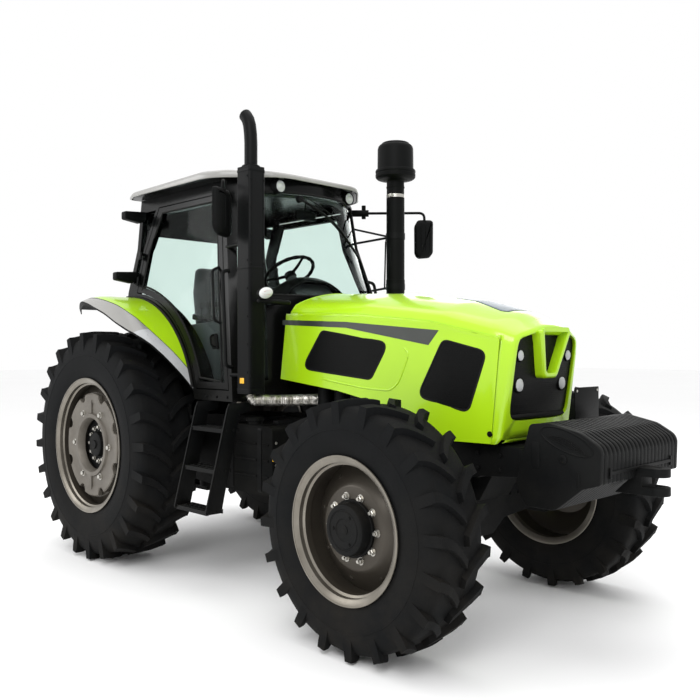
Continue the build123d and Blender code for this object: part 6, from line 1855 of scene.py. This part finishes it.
# ---- Engine, axles and rear hitch --------------------------------------------------------
def dress_engine(side, sign):
    wall = sign * 0.250
    mesh = bmesh.new()
    for k in range(4):
        x = 1.86 + 0.20 * k
        tube(mesh, rounded_path([at(x, wall, 1.52), at(x, wall + sign * 0.075, 1.52),
                                 at(x + 0.03, wall + sign * 0.085, 1.44)], 0.03), 0.026, 12)
    tube(mesh, [at(1.80, wall + sign * 0.088, 1.435), at(2.56, wall + sign * 0.088, 1.435)], 0.040, 18)
    for x in (1.82, 1.98):
        lathe(mesh, [(1.150, 0.0), (1.150, 0.044), (1.156, 0.049), (1.330, 0.049), (1.338, 0.040),
                     (1.338, 0.0)], at(x, wall + sign * 0.062, 0), "Z", 28)
    block(mesh, span_x(2.10, 2.46), tuple(sorted((wall, wall + sign * 0.105))), (1.180, 1.330))
    for k in range(4):
        tube(mesh, rounded_path([at(2.14 + 0.09 * k, wall + sign * 0.050, 1.330),
                                 at(2.14 + 0.09 * k, wall + sign * 0.055, 1.40),
                                 at(1.90 + 0.20 * k, wall + sign * 0.012, 1.555)], 0.04), 0.0045, 8)
    for x in (1.75, 1.95, 2.15, 2.35, 2.55):
        bolt(mesh, at(x, sign * 0.190, 0.99), Vector((0, sign, 0)), 0.018, 0.010)
        bolt(mesh, at(x + 0.08, wall, 1.10), Vector((0, sign, 0)), 0.018, 0.010)
    piece(f"engine_side_{side}", mesh, BLACK_CAST, smooth=35.0, bevel=0.003)
    # Hoses and pipe runs along the frame.
    mesh = bmesh.new()
    for dy, z, r in ((0.275, 0.985, 0.011), (0.285, 0.955, 0.009), (0.268, 1.025, 0.008)):
        tube(mesh, rounded_path([at(0.90, sign * (dy - 0.02), z + 0.03), at(1.30, sign * (dy + 0.01),
                z + 0.07), at(1.76, sign * dy, z + 0.05), at(2.42, sign * (dy + 0.02), z + 0.05)], 0.1), r,
             8)
    piece(f"pipe_runs_{side}", mesh, SEAL_RUBBER)
    mesh = bmesh.new()
    for x, y, z in ((1.79, 0.300, 1.115), (1.93, 0.272, 1.055), (2.22, 0.300, 1.040), (1.745, 0.330, 0.980)):
        bolt(mesh, at(x, sign * y, z), Vector((0.3, sign, 0)), 0.016, 0.010)
        lathe(mesh, [(-0.010, 0.012), (-0.010, 0.014), (0.010, 0.014), (0.010, 0.012)],
              at(x + 0.05, sign * (y - 0.01), z), "X", 16)
    piece(f"hose_clips_{side}", mesh, BRIGHT_STEEL)


def dress_front_axle(side, sign):
    centre = FRONT_AXLE + Vector((0, sign * 0.800, 0))
    mesh = bmesh.new()
    for low, high in ((-0.150, -0.141), (0.141, 0.150)):
        lathe(mesh, [(low, 0.0), (low, 0.040), (high, 0.040), (high, 0.0)], centre, "Z", 32)
    for a in turns(4, 0.5):
        bolt(mesh, centre + Vector((0.030 * math.cos(a), 0.030 * math.sin(a), 0.150)), Vector((0, 0, 1)),
             0.012, 0.007)
    for x in (-0.060, 0.060):
        for k in range(5):
            bolt(mesh, FRONT_AXLE + Vector((x * 1.42, sign * (0.24 + 0.085 * k), 0.030)), Vector((x, 0, 0)),
                 0.016, 0.008)
    piece(f"front_axle_fittings_{side}", mesh, BLACK_CAST, smooth=35.0)
    mesh = bmesh.new()
    arm = f"knuckle_{side}"
    for a in turns(8, 0.5):
        place = FRONT_AXLE + Vector((0.090 * math.cos(a), sign * (0.924 - 0.006), 0.090 * math.sin(a)))
        bolt(mesh, place, Vector((0, sign, 0)), 0.014, 0.005, washer=False)
    piece(f"knuckle_bolts_{side}", mesh, BLACK_CAST, body=arm)
    mesh = bmesh.new()
    for x in (3.05, 3.20):
        for z in (0.930, 1.010):
            bolt(mesh, at(x, sign * 0.285, z), Vector((0, sign, 0)), 0.024, 0.012)
    piece(f"support_bolts_{side}", mesh, BLACK_CAST)


def dress_rear(side, sign):
    mesh = bmesh.new()
    for a in turns(10):
        bolt(mesh, REAR_AXLE + Vector((0.155 * math.cos(a), sign * 0.672, 0.155 * math.sin(a))),
             Vector((0, sign, 0)), 0.020, 0.010)
    for k in range(9):
        a = math.pi * (k + 0.5) / 9
        bolt(mesh, REAR_AXLE + Vector((0.165 * math.cos(a), sign * 0.262, 0.165 * math.sin(a))),
             Vector((0, sign, 0)), 0.020, 0.010)
    piece(f"axle_housing_bolts_{side}", mesh, BLACK_CAST)
    mesh = bmesh.new()
    tube(mesh, [at(-0.240, sign * 0.150, 0.700), at(-0.262, sign * 0.150, 1.010)], 0.034, 18)
    tube(mesh, [at(-0.262, sign * 0.150, 1.010), at(-0.268, sign * 0.150, 1.075)], 0.018, 14)
    piece(f"lift_ram_{side}", mesh, BLACK_CAST)
    mesh = bmesh.new()
    for y, z in ((0.12, 0.90), (0.17, 0.90), (0.12, 0.95), (0.17, 0.95)):
        tube(mesh, [at(-0.265, sign * y, z), at(-0.315, sign * y, z)], 0.017, 16)
        lathe(mesh, [(-0.324, 0.0), (-0.324, 0.017), (-0.318, 0.020), (-0.312, 0.020), (-0.310, 0.016)],
              Vector((REAR_AXLE.x, sign * y, z)), "X", 20)
    piece(f"hydraulic_couplers_{side}", mesh, BRIGHT_STEEL)


both_sides(dress_engine)
both_sides(dress_front_axle)
both_sides(dress_rear)


# ---- Camera, light and floor -------------------------------------------------------------
def set_the_stage():
    scene = bpy.context.scene
    camera = bpy.data.objects.new("camera", bpy.data.cameras.new("camera"))
    scene.collection.objects.link(camera)
    camera.location = at(5.785, -3.996, 1.586)
    azimuth = math.radians(45.35)
    camera.rotation_euler = (math.pi / 2, 0, azimuth)
    camera.data.lens = 41.74
    camera.data.sensor_width = 36.0
    camera.data.clip_end = 200
    scene.camera = camera

    mesh = bmesh.new()
    add_faces(mesh, [Vector((x, y, -0.001)) for x, y in ((-60, -60), (60, -60), (60, 60), (-60, 60))],
              [(0, 1, 2, 3)])
    data = bpy.data.meshes.new("floor")
    mesh.to_mesh(data)
    mesh.free()
    floor = bpy.data.objects.new("floor", data)
    data.materials.append(FLOOR_TONE)
    scene.collection.objects.link(floor)

    def softbox(name, place, target, size, power):
        lamp = bpy.data.lights.new(name, "AREA")
        lamp.shape = "RECTANGLE"
        lamp.size, lamp.size_y = size
        lamp.energy = power
        holder = bpy.data.objects.new(name, lamp)
        holder.location = place
        holder.rotation_euler = (Vector(target) - Vector(place)).to_track_quat("-Z", "Y").to_euler()
        scene.collection.objects.link(holder)

    softbox("key", (5.5, -7.5, 7.5), (0, 0, 1.0), (5.0, 5.0), 430)
    softbox("side", (-6.5, -7.0, 4.5), (-0.5, 0, 1.2), (5.0, 3.5), 170)
    softbox("overhead", (0.5, 0.5, 9.0), (0, 0, 0), (8.0, 8.0), 260)
    softbox("back", (-4.0, 8.0, 5.0), (0, 0, 1.2), (6.0, 4.0), 170)

    world = bpy.data.worlds.new("studio")
    scene.world = world
    world.use_nodes = True
    sky = world.node_tree.nodes["Background"]
    sky.inputs["Color"].default_value = (1.0, 1.0, 1.0, 1.0)
    sky.inputs["Strength"].default_value = 1.0
    scene.view_settings.view_transform = "Standard"


set_the_stage()
